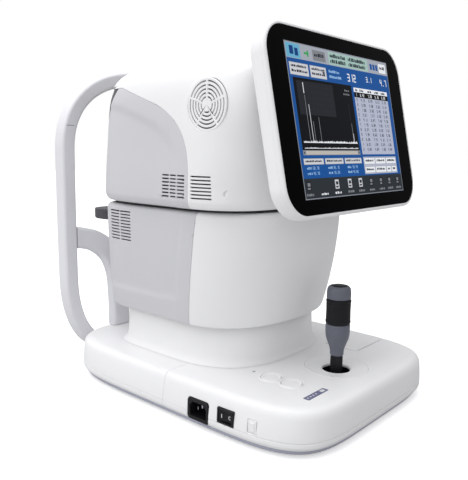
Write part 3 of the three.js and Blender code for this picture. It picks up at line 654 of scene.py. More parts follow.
def build_rocker_switch():
    switch_y, switch_z = sum(SWITCH["y"]) / 2, sum(SWITCH["z"]) / 2
    to_switch = Matrix.Translation((WALL_X, switch_y, switch_z)) @ INTO_LEFT_WALL
    bezel = pillow("switch_bezel", 23, 17, 0.8, 0, 21.4, 0.7, 0)
    cut(bezel, block((-9.5, 9.5), (-6.5, 6.5), (-5, 13.4)))
    piece(bezel, "base", BLACK_PLASTIC, ["switch_frame"], matrix=to_switch, edge=0.25)

    resting = Matrix.Rotation(math.radians(7), 4, "Z")
    low_tilt = Matrix.Translation((WALL_X + 2.9, switch_y, switch_z)) @ resting
    face = [(-2.2 + 2.8 * 2 * t * (1 - t), -8.8 + 17.6 * t) for t in np.linspace(0, 1, 17)]
    rocker = prism([*face, (3, 7), (5, 0), (3, -7)], "z", -6, 6, "rocker_paddle")
    piece(rocker, "rocker", BLACK_PLASTIC, ["power_rocker"], matrix=low_tilt, edge=0.5)
    bar = pillow("bar", 0.9, 4.4, 0.3, -0.12, 0.3)
    circle = turned("circle", [(1.35, -0.12), (2.1, -0.12), (2.1, 0.3), (1.35, 0.3)], 32, closed=True)
    for mark, side in ((bar, 1), (circle, -1)):
        follow_face = Matrix.Rotation(math.radians(side * 9), 4, "Z") @ INTO_LEFT_WALL
        moved(mark, -1.25, side * 5.4, 0, follow_face)
    piece(gather("rocker_marks", [bar, circle]), "rocker", MARK_WHITE, matrix=low_tilt)


def build_port_cover():
    low, high = cad("port_cover")
    to_port = Matrix.Translation((low.x, (low.y + high.y) / 2, (low.z + high.z) / 2)) @ INTO_LEFT_WALL
    cover = pillow("blank_port_cover", 11, 14, 1.0, 0.9, 3.4, 0.4, 0)
    combine(cover, pillow("tool", 6.8, 9.2, 1.0, 0, 1.2, 0.35, 0), "UNION")
    piece(cover, "base", SHELL_WHITE, ["port_cover"], matrix=to_port)


def build_printer_door():
    low, high = cad("printer_door")
    mid_x = (low.x + high.x) / 2
    hinge = Vector((mid_x, -80, 50.4))
    depth = hinge.y - 0.2 - low.y
    lid = moved(pillow("printer_lid_cover", high.x - low.x, depth, 2.4, 49.2, high.z, 0.3, 1.1),
                mid_x, low.y + depth / 2)
    scoop = turned("tool", [(0, -4), (9, 0), (11, 4), (0, 4)], 48)
    cut(lid, moved(scoop, mid_x, low.y + 6, 53.6))
    knuckle = moved(rod(1.8, -32, 32, 32), *hinge, turn=ALONG_X)
    combine(lid, knuckle, "UNION")
    for x in (low.x + 1.6, high.x - 3.6):
        combine(lid, block((x, x + 2), (-126, -114), (41, 49.8)), "UNION")
    piece(lid, "printer_lid", SHELL_WHITE, ["printer_door"], edge=0.25)


# ---------------------------------------------------------------------------- joystick
def build_joystick():
    spot = middle("joystick_cap")
    at = (spot.x, spot.y, 30)
    ribs = 22
    turns = [2 * math.pi * i / (ribs * 4) for i in range(ribs * 4)]
    heights = [(-9, 4, 0), (-7, 6, 0), (0, 9.5, 0), (6, 7.2, 0), (8, 7.1, 0.35), (34, 7.1, 0.35),
               (36, 6.9, 0)]
    stem = skin("joystick_boot", [
        [((r + rib * math.cos(ribs * a)) * math.cos(a), (r + rib * math.cos(ribs * a)) * math.sin(a), z)
         for a in turns] for z, r, rib in heights
    ])
    combine(stem, moved(rod(2, -23, 23, 24), turn=ALONG_Y), "UNION")
    piece(moved(stem, *at), "stick", BLACK_PLASTIC, ["joystick_stem"])
    profile = [(0, 36.3), (7.4, 36.3), (8.1, 37.4), (8.2, 42), (9.6, 48), (12.2, 54), (13.9, 59.5),
               (14.5, 65), (14.5, 74.6), (13.8, 75.7), (6, 75.7), (6, 105.7), (0, 105.7)]
    eased = [(r, z, 0.6 if z > 70 or z < 38 else 3) for r, z in profile]
    body = turned("joystick_shaft_body", eased, 64, radius=3)
    piece(moved(body, *at), "stick", STICK_GREY, ["joystick_body"])
    grip = [(6.4, 76), (13.9, 76), (14.8, 77.2), (14.9, 79.4), (14.2, 80.1), (14.6, 80.9), (14.4, 91),
            (14.6, 101.1), (14.2, 101.9), (14.9, 102.6), (14.8, 104.6), (13.9, 105.7), (6.4, 105.7)]
    ring = turned("twist_grip", grip, 72, closed=True, radius=0.5)
    piece(moved(ring, *at), "grip", GRIP_RUBBER, ["grip_ring"])
    cap = [(0, 106), (13.6, 106), (14.4, 106.8), (14.4, 114.6, 3), (13.6, 119.0, 3), (11.2, 121.4, 1),
           (9.7, 121.4), (9.6, 114), (0, 114)]
    top = moved(turned("joystick_top_cap", cap, 64, radius=0.6), *at)
    piece(top, "stick", STICK_GREY, ["joystick_cap"])
    button = [(0, 116.5), (9, 116.5), (9, 120.8, 1.2), (7.4, 122.3, 1.2), (4, 123.0), (0.01, 123.2)]
    knob = moved(turned("joystick_button", button, 48, radius=0.6), *at)
    piece(knob, "trigger", BLACK_PLASTIC, ["trigger_button"])


# ---------------------------------------------------------------------------- lifting body
def build_collar():
    low, high = cad("collar")
    half, front, back = high.x, low.y, high.y
    levels = [
        Level(z, half - inset, front + inset, back - inset, (front + back) / 2, 2.8, 6)
        for z, inset in ((low.z, 0), (low.z + 0.9, 1.8), (55, 3.5), (58, 5.2), (62, 6), (high.z, 8))
    ]
    angles = outline_angles(levels[-1])
    sleeve = loft("collar_sleeve", refine(levels), angles)
    bore = [shrink(level, WALL) for level in levels[-2:]]
    cut(sleeve, loft("tool", open_ended(bore, 30, 20), angles))
    piece(sleeve, "base", SHELL_WHITE, ["collar"])


SKIRT_BOTTOM, SKIRT_TOP = 101.5, 239.2
SKIRT_LEVELS = [Level(z, half, front, back, 13, 2.4, 9) for z, half, front, back in (
    (SKIRT_BOTTOM, 114, -79, 152), (SKIRT_BOTTOM + 1.2, 116.5, -81.5, 154.5),
    (SKIRT_BOTTOM + 4, 118, -83, 156),
    (SKIRT_TOP - 6, 127, -105, 156), (SKIRT_TOP - 1.5, 125, -103, 154), (SKIRT_TOP, 122, -100, 151),
)]
SEAM_TOP_Y, SEAM_BOTTOM_Y = -25, -5


def seam_prism(shift):
    low, high = SKIRT_BOTTOM - 5, SKIRT_TOP + 5
    return prism([(SEAM_BOTTOM_Y + shift, low), (300, low), (300, high), (SEAM_TOP_Y + shift, high)],
                 "x", -200, 200)


def build_body_covers():
    angles = outline_angles(SKIRT_LEVELS[3], FINE_COUNT)
    shell = loft("shell", refine(SKIRT_LEVELS, 2.5), angles)
    lean = (SEAM_TOP_Y - SEAM_BOTTOM_Y) / (SKIRT_TOP - SKIRT_BOTTOM)
    corner_y = SEAM_BOTTOM_Y + 16 + lean * 26
    corners = [(corner_y, 126, 16), (146, 126, 10), (146, 260), (corner_y + lean * 129, 260)]
    border = rounded(corners, 0, 6, closed=True)
    dent(shell, border, 1.6, 9)
    inside = [shrink(SKIRT_LEVELS[i], WALL) for i in (0, 2, 3, 5)]
    cut(shell, loft("tool", open_ended(refine(inside), 1, 1), angles))
    front = cut(copy_of(shell, "lift_body_front"), seam_prism(-GAP))
    piece(tidy(front), "lift", SHELL_WHITE, ["body_front_cover"], edge=0.5)

    rear = combine(shell, seam_prism(0), "INTERSECT")
    for column in ((90, 110.3), (112.7, 132.5)):
        for row in range(10):
            low = 193 + row * 4.0
            cut(rear, block((-140, 140), column, (low, low + 1.6)))
    rear.name = "lift_body_rear"
    for label, x in (("left", (-200, -90.3)), ("right", (90.3, 200))):
        flank = copy_of(rear, f"lift_body_side_{label}")
        combine(flank, block(x, (-100, 300), (0, 300)), "INTERSECT")
        piece(tidy(flank, 0.05), "lift", PANEL_GREY, [f"body_side_panel_{label}"], edge=0.3)
    combine(rear, block((-90, 90), (60, 300), (0, 300)), "INTERSECT")
    piece(tidy(rear, 0.05), "lift", PANEL_GREY, ["body_rear_cover"], edge=0.3)


def build_body_top_plate():
    low, high = cad("body_top_plate")
    plate = Level(low.z, high.x, low.y, high.y, 13, 2.4, 9)
    plate_angles = outline_angles(plate)
    top = loft("travel_window_plate", [plate, plate._replace(z=high.z - 0.4),
                                       shrink(plate, 0.6)._replace(z=high.z)], plate_angles)
    window = round_rect(134, 94, 6)
    cut(top, prism([(x, y + 15) for x, y in window], "z", 230, 250))
    piece(top, "lift", DARK_GREY, ["body_top_plate"], edge=0.3)


def build_body_filters():
    for side, label in SIDES:
        x = sorted((side * 115.0, side * 117.0))
        piece(block(x, (87, 136), (190, 233.5), f"body_vent_filter_{label}"), "lift", FILTER_GREY)


# ---------------------------------------------------------------------------- measuring head
HEAD_LEVELS = [Level(z, half, front, back, 20, front_square, back_square)
               for z, half, front, back, front_square, back_square in (
    (242.5, 130, -92, 163, 3.6, 5), (243.8, 132.8, -94.8, 166, 3.6, 5), (246.5, 134.5, -96.5, 168, 3.6, 5),
    (252, 136, -98, 169.5, 3.6, 5), (310, 134, -101, 165.5, 5, 5), (364, 131.5, -102, 159.5, 8, 5),
    (384, 128, -101, 152, 8, 5), (393, 123.5, -100, 149, 8, 4.6), (403, 110, -98, 148, 8, 4),
    (418, 86, -93, 140, 8, 3), (430, 62, -88, 124, 8, 2.6), (437.5, 40, -80, 100, 8, 2.4),
    (441, 20, -68, 72, 8, 2.2),
)]
DOME_START = 384
FAN = {"x": -130.6, "y": -48, "z": 356, "radius": 28}
FACE_Y = 112
LAMP_WINDOW_X = 52  # infra-red lamps shine out either side of the objective


def head_levels(inset, spacing=5.0):
    """The head's outer levels moved in; the dome comes down by the same amount."""
    return [shrink(level, inset, inset * min(1, max(0, (level.z - DOME_START) / 20)))
            for level in refine(HEAD_LEVELS, spacing)]


def side_panel_border(shift, inset=0.0):
    """The panel's edge in (y, z): upright, then bending over into a long shallow arc."""
    y = -22 - shift + inset
    top = shift - inset
    line = bezier((y, 280), (y, 322 + 0.3 * top), (-5 + 0.6 * inset, 343 + top),
                  (33 + 0.2 * inset, 359 + top))
    return line, top


def side_panel_prism(low, high, shift):
    line, top = side_panel_border(shift)
    outline_points = [(line[0][0], 200), *line, (99, 381 + top), (240, 381 + top), (240, 200)]
    return prism(outline_points, "x", low, high)


def face_prism(grow):
    half = [(122, 384), (112, 366 - grow), (84, 346 - grow), (78, 259 - grow)]
    right = [(x + grow, z + grow if i == 0 else z) for i, (x, z) in enumerate(half)]
    left = [(-x, z) for x, z in reversed(right)]
    # high up, the panel also wraps round both rear corners in a wedge
    wedge = [(108 - grow, 381 + grow), (200, 381 + grow), (200, 344 - grow), (142 - grow, 344 - grow)]
    return combine(prism(right + left, "y", FACE_Y, 200), prism(wedge, "x", -200, 200), "UNION")


def vent_cutters(sign, columns):
    x = (sign * 134 - 14, sign * 134 + 14)
    tools = []
    for row in range(7):
        low = 254.5 + row * 4
        tools += [block(x, column, (low, low + 1.7)) for column in columns]
    return gather("tool", tools)


def build_head_covers():
    angles = outline_angles(HEAD_LEVELS[4], FINE_COUNT)
    shell = loft("shell", head_levels(0, 2.5), angles)
    line, top = side_panel_border(0, 17)
    border = [(line[0][0], 200), *line, (96, 379 + top), (190, 390 + top), (190, 200)]
    dent(shell, border, 2.0, 12)
    cut(shell, loft("tool", open_ended(head_levels(WALL), below=2), angles))

    cover = cut(copy_of(shell, "head_cover"), side_panel_prism(-200, 200, GAP), face_prism(GAP))
    cut(cover, moved(disc_cutter(FAN["radius"] + GAP, -15, 15, (0, 0)), -130, FAN["y"], FAN["z"], ALONG_X))
    for sign in (-1, 1):
        cut(cover, vent_cutters(sign, [(-53, -26)]))
        plug = moved(disc_cutter(4.2, -4, 4, (0, 0), 40), sign * 124.6, -69, 261, ALONG_X)
        cut(cover, plug)
    piece(tidy(cover), "head", SHELL_WHITE, ["head_main_cover"], edge=0.3)

    for sign, label in SIDES:
        span = sorted((sign * 60, sign * 200))
        panel = combine(copy_of(shell, f"head_side_{label}"), side_panel_prism(*span, 0), "INTERSECT")
        cut(panel, face_prism(GAP), block(sorted((0, sign * 78.3)), (100, 300), (200, 300)))
        cut(panel, vent_cutters(sign, [(-17, -5.4), (-3.6, 8.0), (9.8, 21)]))
        piece(tidy(panel, 0.05), "head", PANEL_GREY, [f"head_side_panel_{label}"], edge=0.3)
        x = sorted((sign * 122.0, sign * 124.0))
        piece(block(x, (-56, 48), (250, 286), f"head_vent_filter_{label}"), "head", FILTER_GREY)
    bpy.data.objects.remove(shell)


def build_patient_face():
    angles = outline_angles(HEAD_LEVELS[4], FINE_COUNT)
    face = loft("patient_face", head_levels(1.2), angles)
    cut(face, loft("tool", open_ended(head_levels(WALL + 1), below=2), angles))
    combine(face, face_prism(0), "INTERSECT")
    hole = moved(disc_cutter(27, -60, 60, (0, 0), 96), 0, 150, EYE_LINE, ALONG_Y)
    cut(face, hole)
    for x in (-LAMP_WINDOW_X, LAMP_WINDOW_X):
        cut(face, moved(disc_cutter(5, -60, 60, (0, 0), 40), x, 150, EYE_LINE, ALONG_Y))
    piece(tidy(face), "head", DARK_GREY, ["patient_face_panel"], edge=0.5)
    for sign, label in SIDES:
        profile = [(0, 0), (4.8, 0), (4.8, 2), (4.2, 2.6), (0.01, 2.8)]
        window = turned(f"lamp_window_{label}", profile, 40, radius=0.3)
        moved(window, sign * LAMP_WINDOW_X, 153.6, EYE_LINE, ALONG_Y)
        piece(window, "head", GLASS_BLACK)
    bezel = [(24.6, 153), (26.7, 153), (26.7, 157), (30.5, 157.2), (30, 159), (27, 159.8), (24.6, 158.6)]
    ring = turned("objective_bezel", bezel, 96, closed=True, radius=0.6)
    piece(moved(ring, 0, 0, EYE_LINE, ALONG_Y), "head", BLACK_PLASTIC)


def build_fan_grille():
    """A disc with five rings of slots, broken by five spokes."""
    radius, spokes = FAN["radius"] + 0.25, 5
    profile = [(0, -1.2), (radius, -1.2), (radius, 0.7), (radius - 0.5, 1.2), (0, 1.2)]
    grille = turned("fan_grille_disc", profile, 96)
    spoke_half = 1.2
    for inner, outer in ((7.3, 8.9), (11.4, 13.0), (15.5, 17.1), (19.6, 21.2), (23.9, 25.5)):
        slots = []
        for spoke in range(spokes):
            first = 2 * math.pi * spoke / spokes + math.asin(spoke_half / inner)
            last = 2 * math.pi * (spoke + 1) / spokes - math.asin(spoke_half / inner)
            turns = np.linspace(first, last, 14)
            edge_in = [(inner * math.cos(a), inner * math.sin(a)) for a in turns]
            edge_out = [(outer * math.cos(a), outer * math.sin(a)) for a in reversed(turns)]
            slots.append(prism(edge_in + edge_out, "z", -3, 3))
        cut(grille, gather("tool", slots))
    outwards = Matrix.Rotation(math.radians(-90), 4, "Y")
    piece(moved(grille, FAN["x"], FAN["y"], FAN["z"], outwards), "head", SHELL_WHITE,
          ["fan_grille"], edge=0.3)
    sheet = turned("fan_filter", [(0, -1.4), (27, -1.4), (27, 0), (0, 0)], 72)
    piece(moved(sheet, FAN["x"] + 3.0, FAN["y"], FAN["z"], outwards), "head", FILTER_GREY)


def build_objective():
    barrel = [(24, 64.3), (24, 156.6, 1.2), (22.6, 158.3, 1), (20.6, 158.3, 0.5), (20.2, 156)]
    barrel += [(r, y) for step in range(3) for r, y in ((20.2 - 0.3 * step, 155.5 - 1.2 * step),
                                                        (19.6 - 0.3 * step, 155.2 - 1.2 * step))]
    barrel += [(19, 151.8), (19, 64.3)]
    tube = turned("objective_tube", barrel, 96, closed=True, radius=0.2)
    piece(moved(tube, 0, 0, EYE_LINE, ALONG_Y), "head", BLACK_PLASTIC, ["objective_barrel"])
    low, _ = cad("objective_lens")
    lens = [(0, 0), (18.6, 0), (18.6, 2.4)]
    lens += [(18.2 * math.cos(t), 2.6 + 3.2 * math.sin(t)) for t in np.linspace(0.1, math.pi / 2 - 0.02, 14)]
    glass = turned("objective_front_lens", lens, 96)
    piece(moved(glass, 0, low.y, EYE_LINE, ALONG_Y), "head", LENS_GLASS, ["objective_lens"])


# ---------------------------------------------------------------------------- monitor
MONITOR = (Matrix.Translation((0, SCREEN["y"], SCREEN["z"]))
           @ Matrix.Rotation(math.radians(-SCREEN["tilt_back"]), 4, "X"))
HINGE = (0, -109.5, 333)


def backwards(name, levels, spacing=2.0):
    """Rounded rectangles of the housing's size less an inset, at depths behind the glass."""
    rows = [Level(depth, inset, radius, 0, 0, 0, 0) for depth, inset, radius in levels]
    obj = skin(name, [
        [(x, y, row.z) for x, y in
         round_rect(HOUSING["width"] - row.half, HOUSING["height"] - row.half, row.front, 8)]
        for row in refine(rows, spacing)
    ])
    return moved(obj, turn=ALONG_Y)


def build_monitor_housing():
    levels = [(3.9, 0, 34), (12, 0.6, 34), (18, 4, 32.5), (23, 14, 29), (27, 28, 24), (30, 44, 20)]
    shell = backwards("monitor_back", levels)
    cut(shell, backwards("tool", [(3, 6, 31), (12, 7, 31), (17, 12, 28), (21, 22, 24), (25.5, 36, 19)], 4))
    pin = MONITOR.inverted() @ Vector(HINGE)
    tie = block((-39, 39), (HOUSING["depth"] - 2, pin.y), (pin.z - 6.5, pin.z + 6.5))
    knuckle = rod(7, -39, 39, 48, 0.8)
    bore = rod(2.8, -50, 50, 32)
    for tool in (knuckle, bore):
        moved(tool, 0, pin.y, pin.z, ALONG_X)
    combine(combine(shell, tie, "UNION"), knuckle, "UNION")
    cut(shell, bore)
    for side in (-1, 1):
        for row in range(6):
            for column in range(3):
                x = side * (52 + column * 20)
                z = 46 + row * 4.2
                cut(shell, block((x - 8, x + 8), (20, 40), (z, z + 1.8)))
    cut(shell, block((-60, 60), (29, 32), (-74, -58)))
    piece(tidy(shell), "monitor", SHELL_WHITE, ["monitor_rear_housing"],
          matrix=MONITOR, edge=0.4)


def build_monitor_front():
    levels = [(-0.4, 4.5, 31.8), (0.6, 2, 33), (2, 0.5, 33.8), (3.85, 0, 34)]
    rim = backwards("monitor_front_rim", levels, 0.5)
    hole = prism(round_rect(SCREEN["width"] + 0.6, SCREEN["height"] + 0.6, 30.3, 12), "z", -5, 6)
    cut(rim, moved(hole, turn=ALONG_Y))
    piece(rim, "monitor", SHELL_WHITE, ["monitor_front_frame"], matrix=MONITOR, edge=0.15)
    glass = pillow("touch_glass", SCREEN["width"], SCREEN["height"], 30, 0, 2.6, 0.25, 0)
    piece(moved(glass, turn=ALONG_Y), "monitor", GLASS_BLACK, ["cover_glass"],
          matrix=MONITOR)
    screws = [moved(screw_head(3.4), x, 29.4, z, ALONG_Y) for z in (70, -70) for x in (-108, 108)]
    piece(gather("monitor_screws", screws), "monitor", STEEL, matrix=MONITOR)


def screw_head(radius, height=1.4):
    """A domed screw head with a cross recess, facing +Z."""
    dome = [(radius * math.cos(t), height * math.sin(t)) for t in np.linspace(0.05, 1.5, 8)]
    head = turned("tool", [(0, -1), (radius, -1), *dome, (0.01, height)], 32)
    arm = radius * 0.62
    for x, y in ((arm, 0.45), (0.45, arm)):
        cut(head, block((-x, x), (-y, y), (height * 0.35, 3)))
    return head


# ---------------------------------------------------------------------------- display
ACTIVE_WIDTH, ACTIVE_HEIGHT = 211.2, 158.4
SEGMENTS = {  # lit strokes of a seven-stroke numeral
    "0": "abcdef", "1": "bc", "2": "abged", "3": "abgcd", "4": "fgbc", "5": "afgcd", "6": "afgedc",
    "7": "abc", "8": "abcdefg", "9": "abcfgd", "-": "g", ".": "p", " ": "",
}
STROKES = {  # each stroke's box in a cell one unit high and 0.56 wide: left, bottom, right, top
    "a": (0, 0.86, 0.56, 1), "b": (0.42, 0.5, 0.56, 1), "c": (0.42, 0, 0.56, 0.5), "d": (0, 0, 0.56, 0.14),
    "e": (0, 0, 0.14, 0.5), "f": (0, 0.5, 0.14, 1), "g": (0, 0.43, 0.56, 0.57), "p": (0.2, 0, 0.36, 0.16),
}
TINTS = {name: lit(f"display_{name}", srgb(*colour), strength) for name, colour, strength in (
    ("pale", (216, 218, 224), 0.9), ("white", (240, 243, 248), 0.95), ("mint", (176, 208, 200), 0.85),
    ("steel", (176, 182, 194), 0.85), ("line", (150, 156, 166), 0.8), ("grey", (142, 146, 152), 0.8),
    ("cream", (204, 198, 192), 0.85), ("table", (190, 196, 216), 0.88), ("blue", (28, 86, 158), 0.9),
    ("deep", (20, 66, 130), 0.9), ("cyan", (110, 182, 214), 0.9), ("green", (60, 168, 92), 0.9),
    ("black", (20, 22, 26), 0.7), ("grid", (46, 48, 54), 0.7), ("bar", (52, 58, 64), 0.75),
    ("ink", (40, 46, 60), 0.7), ("sky", (150, 190, 232), 0.9),
)}


class Display:
    """Flat tiles on the glass in screen fractions: u to the right, v down."""

    def __init__(self):
        self.verts, self.faces, self.tints = [], [], []
        self.names = list(TINTS)

    def tile(self, u0, v0, u1, v1, tint, layer=1):
        x0, x1 = ((u - 0.5) * ACTIVE_WIDTH for u in (u0, u1))
        z0, z1 = ((0.5 - v) * ACTIVE_HEIGHT for v in (v1, v0))
        front = -0.03 * layer
        start = len(self.verts)
        for y in (0.02, front):
            self.verts += [(x0, y, z0), (x1, y, z0), (x1, y, z1), (x0, y, z1)]
        sides = [(3, 2, 1, 0), (4, 5, 6, 7), (0, 1, 5, 4), (1, 2, 6, 5), (2, 3, 7, 6), (3, 0, 4, 7)]
        self.faces += [tuple(start + i for i in side) for side in sides]
        self.tints += [self.names.index(tint)] * 6

    def number(self, text, u, v, height, tint, layer):
        """Numerals whose top left corner is at (u, v), with the height as a share of the screen's."""
        wide = height * ACTIVE_HEIGHT / ACTIVE_WIDTH
        for i, mark in enumerate(text):
            left = u + i * wide * 0.74
            for stroke in SEGMENTS[mark]:
                a, b, c, d = STROKES[stroke]
                top, bottom = v + (1 - d) * height, v + (1 - b) * height
                self.tile(left + a * wide, top, left + c * wide, bottom, tint, layer)

    def words(self, u, v, width, height, tint, seed, layer):
        """A line of unreadable dashes that stands for a caption."""
        rng = random.Random(seed)
        place = u
        while place < u + width:
            length = min(rng.uniform(0.006, 0.014), u + width - place)
            top = v + height * rng.choice((0.0, 0.15, 0.3))
            self.tile(place, top, place + length, v + height, tint, layer)
            place += length + rng.choice((0.0025, 0.0025, 0.006))

    def button(self, u0, v0, u1, v1, tint, seed, lines=1):
        self.tile(u0, v0, u1, v1, "line", 4)
        self.tile(u0 + 0.002, v0 + 0.003, u1 - 0.002, v1 - 0.003, tint, 5)
        pitch = (v1 - v0) / (lines + 0.6)
        for line in range(lines):
            top = v0 + pitch * (0.45 + line)
            self.words(u0 + 0.014, top, (u1 - u0) - 0.028, pitch * 0.5, "ink", seed + line, 6)

    def build(self):
        mesh = bpy.data.meshes.new("display_picture")
        mesh.from_pydata(self.verts, [], self.faces)
        for name in self.names:
            mesh.materials.append(TINTS[name])
        mesh.polygons.foreach_set("material_index", self.tints)
        obj = bpy.data.objects.new("display_picture", mesh)
        bpy.context.scene.collection.objects.link(obj)
        return obj


def draw_ground(screen):
    screen.tile(-0.005, -0.006, 1.005, 1.006, "line")
    screen.tile(0, 0, 1, 1, "blue", 2)


def draw_status_bar(screen):
    screen.tile(0, 0, 1, 0.1, "steel", 3)
    screen.tile(0.004, 0.004, 0.118, 0.096, "cyan", 4)
    screen.tile(0.03, 0.02, 0.062, 0.075, "deep", 5)
    screen.tile(0.072, 0.03, 0.1, 0.08, "deep", 5)
    screen.tile(0.15, 0.046, 0.19, 0.06, "green", 4)
    screen.tile(0.176, 0.032, 0.188, 0.074, "green", 4)
    screen.button(0.225, 0.018, 0.34, 0.09, "grey", 5)
    screen.tile(0.37, 0.006, 0.775, 0.095, "mint", 4)
    for i, (u, v) in enumerate(((0.385, 0.018), (0.385, 0.056), (0.565, 0.018), (0.565, 0.056))):
        screen.words(u, v, 0.15 if u < 0.5 else 0.18, 0.026, "ink", 11 + i, 6)
    for u in (0.8, 0.832, 0.864):
        screen.tile(u, 0.03, u + 0.024, 0.074, "blue", 5)
    screen.button(0.9, 0.012, 0.985, 0.09, "white", 17)


def draw_reading_band(screen):
    screen.button(0.012, 0.125, 0.17, 0.208, "pale", 21, lines=2)
    screen.button(0.184, 0.125, 0.33, 0.208, "pale", 24, lines=2)
    for step in range(4):
        inset, top = step * 0.003, 0.158 + step * 0.005
        screen.tile(0.292 + inset, top, 0.316 - inset, top + 0.005, "ink", 7)
    screen.words(0.355, 0.135, 0.1, 0.018, "sky", 31, 5)
    screen.words(0.355, 0.172, 0.115, 0.018, "sky", 32, 5)
    for u, text, height in ((0.535, "312", 0.056), (0.735, "3.1", 0.04), (0.895, "4.7", 0.05)):
        screen.number(text, u, 0.138, height, "white", 5)


def draw_graph(screen):
    rng = random.Random(7)
    screen.tile(0.026, 0.222, 0.56, 0.69, "black", 3)
    screen.tile(0.05, 0.24, 0.37, 0.46, "grid", 4)
    for i in range(9):
        u = 0.07 + i * 0.034
        screen.tile(u, 0.24, u + 0.0012, 0.46, "bar", 5)
    for i in range(5):
        v = 0.27 + i * 0.038
        screen.tile(0.05, v, 0.37, v + 0.0016, "bar", 5)
    peaks = (
        (0.1, 0.25, 0.005, "white"), (0.103, 0.33, 0.003, "grey"), (0.128, 0.39, 0.004, "pale"),
        (0.148, 0.5, 0.003, "grey"), (0.2, 0.47, 0.003, "grey"), (0.505, 0.36, 0.003, "bar"),
        (0.51, 0.5, 0.003, "grey"), (0.514, 0.57, 0.004, "pale"),
    )
    for u, top, wide, tint in peaks:
        foot = 0.32 if tint == "white" else 0.635
        screen.tile(u, top, u + wide, foot, tint, 6)
    screen.words(0.485, 0.258, 0.045, 0.012, "grey", 37, 6)
    screen.words(0.47, 0.285, 0.06, 0.012, "grey", 38, 6)
    for base, tint, height in ((0.638, "white", 0.012), (0.676, "pale", 0.006)):
        for i in range(100):
            u = 0.045 + i * 0.005
            rise = rng.uniform(0.1, 1.0) * height
            screen.tile(u, base - rise, u + 0.005, base + 0.0035, tint, 7)
    screen.tile(0.026, 0.69, 0.56, 0.722, "line", 4)
    screen.tile(0.05, 0.694, 0.535, 0.718, "cream", 5)
    for u in (0.034, 0.543):
        screen.tile(u, 0.7, u + 0.008, 0.712, "ink", 6)


def draw_table(screen):
    rng = random.Random(19)
    left, right = 0.583, 0.962
    screen.tile(left, 0.232, right, 0.718, "table", 3)
    screen.tile(left, 0.232, right, 0.264, "white", 4)
    screen.tile(left, 0.264, right, 0.302, "black", 4)
    columns = (0.6, 0.645, 0.73, 0.81, 0.887)
    for i, u in enumerate(columns):
        screen.words(u, 0.241, 0.02 if i == 0 else 0.045, 0.016, "ink", 41 + i, 6)
    for row in range(12):
        top = 0.273 + row * 0.0362
        for i, u in enumerate(columns):
            text = str(row + 1)[-1] if i == 0 else f"{rng.uniform(1, 9):.2f}"
            screen.number(text, u, top, 0.021, "white" if row == 0 else "ink", 6)


def draw_result_rows(screen):
    rng = random.Random(29)
    for i, u in enumerate((0.02, 0.205, 0.39)):
        screen.button(u, 0.742, u + 0.172, 0.784, "pale", 61 + i)
        for line in range(2):
            v = 0.798 + line * 0.034
            screen.words(u + 0.02, v, 0.04, 0.016, "sky", 71 + i * 3 + line, 5)
            screen.number(f"{rng.uniform(10, 99):.2f}", u + 0.07, v - 0.002, 0.02, "sky", 5)
    screen.tile(0.583, 0.736, 0.962, 0.862, "table", 3)
    for i in range(3):
        screen.button(0.59 + i * 0.124, 0.742, 0.708 + i * 0.124, 0.792, "white", 81 + i)
    for u0, u1 in ((0.59, 0.7), (0.706, 0.828), (0.834, 0.89), (0.895, 0.955)):
        screen.button(u0, 0.806, u1, 0.856, "white", int(u0 * 200))


def draw_toolbar(screen):
    screen.tile(0, 0.872, 1, 1, "bar", 4)
    for i, u in enumerate((0.035, 0.16, 0.285, 0.41, 0.52, 0.635, 0.745, 0.845, 0.945)):
        bright = i in (2, 3, 4)
        screen.words(u - 0.026, 0.968, 0.06, 0.016, "white" if i in (1, 2) else "grey", 101 + i, 6)
        if i == 1:
            continue
        screen.tile(u - 0.018, 0.888, u + 0.018, 0.95, "pale" if bright else "grid", 5)
        screen.tile(u - 0.01, 0.9, u + 0.012, 0.922, "bar" if bright else "grey", 6)
        screen.tile(u - 0.012, 0.93, u + 0.01, 0.942, "bar" if bright else "grey", 6)


def build_display():
    screen = Display()
    for draw in (draw_ground, draw_status_bar, draw_reading_band, draw_graph, draw_table, draw_result_rows,
                 draw_toolbar):
        draw(screen)
    piece(screen.build(), "monitor", TINTS["black"], matrix=MONITOR)


# ---------------------------------------------------------------------------- headrest
def arc_points(mid_x, mid_z, reach_x, reach_z, square, first, last, steps):
    """A stretch of superellipse in the ring's plane, between two angles in quarter turns."""
    y = middle("headrest_ring").y
    line = []
    for i in range(steps + 1):
        angle = (first + (last - first) * i / steps) * math.pi / 2
        cos, sin = round(math.cos(angle), 9), round(math.sin(angle), 9)
        line.append(Vector((
            mid_x + reach_x * math.copysign(abs(cos) ** (2 / square), cos), y,
            mid_z + reach_z * math.copysign(abs(sin) ** (2 / square), sin),
        )))
    return line


def build_ring():
    half, ankle, reach = RING["half"], RING["ankle"], RING["reach"]
    drop = ankle - RING["foot"]
    left = arc_points(-half + reach, ankle, reach, drop, 2.15, -1, -2, 10)
    dome = arc_points(0, RING["shoulder"], half, RING["top"] - RING["shoulder"], 2.35, 2, 0, 28)
    right = arc_points(half - reach, ankle, reach, drop, 2.15, 0, -1, 10)
    path = spline([*left, *dome, *right], 5)
    ring = sweep("headrest_hoop", path, round_rect(RING["depth"], RING["breadth"], 4, 5))
    piece(ring, "base", RING_GREY, ["headrest_ring"], edge=0.8)
    y = middle("headrest_ring").y
    marks = []
    front = y - RING["depth"] / 2
    upright = half - 3.2  # the ring has started to lean in at eye level
    for side in (-1, 1):
        low, high = sorted(side * (upright + share * RING["breadth"] / 2) for share in (-1, 1))
        z = (EYE_LINE - 0.4, EYE_LINE + 0.4)
        marks.append(block((low + 4, high - 4), (front - 0.06, front + 1), z))
    piece(gather("eye_level_marks", marks), "base", MARK_GREY)


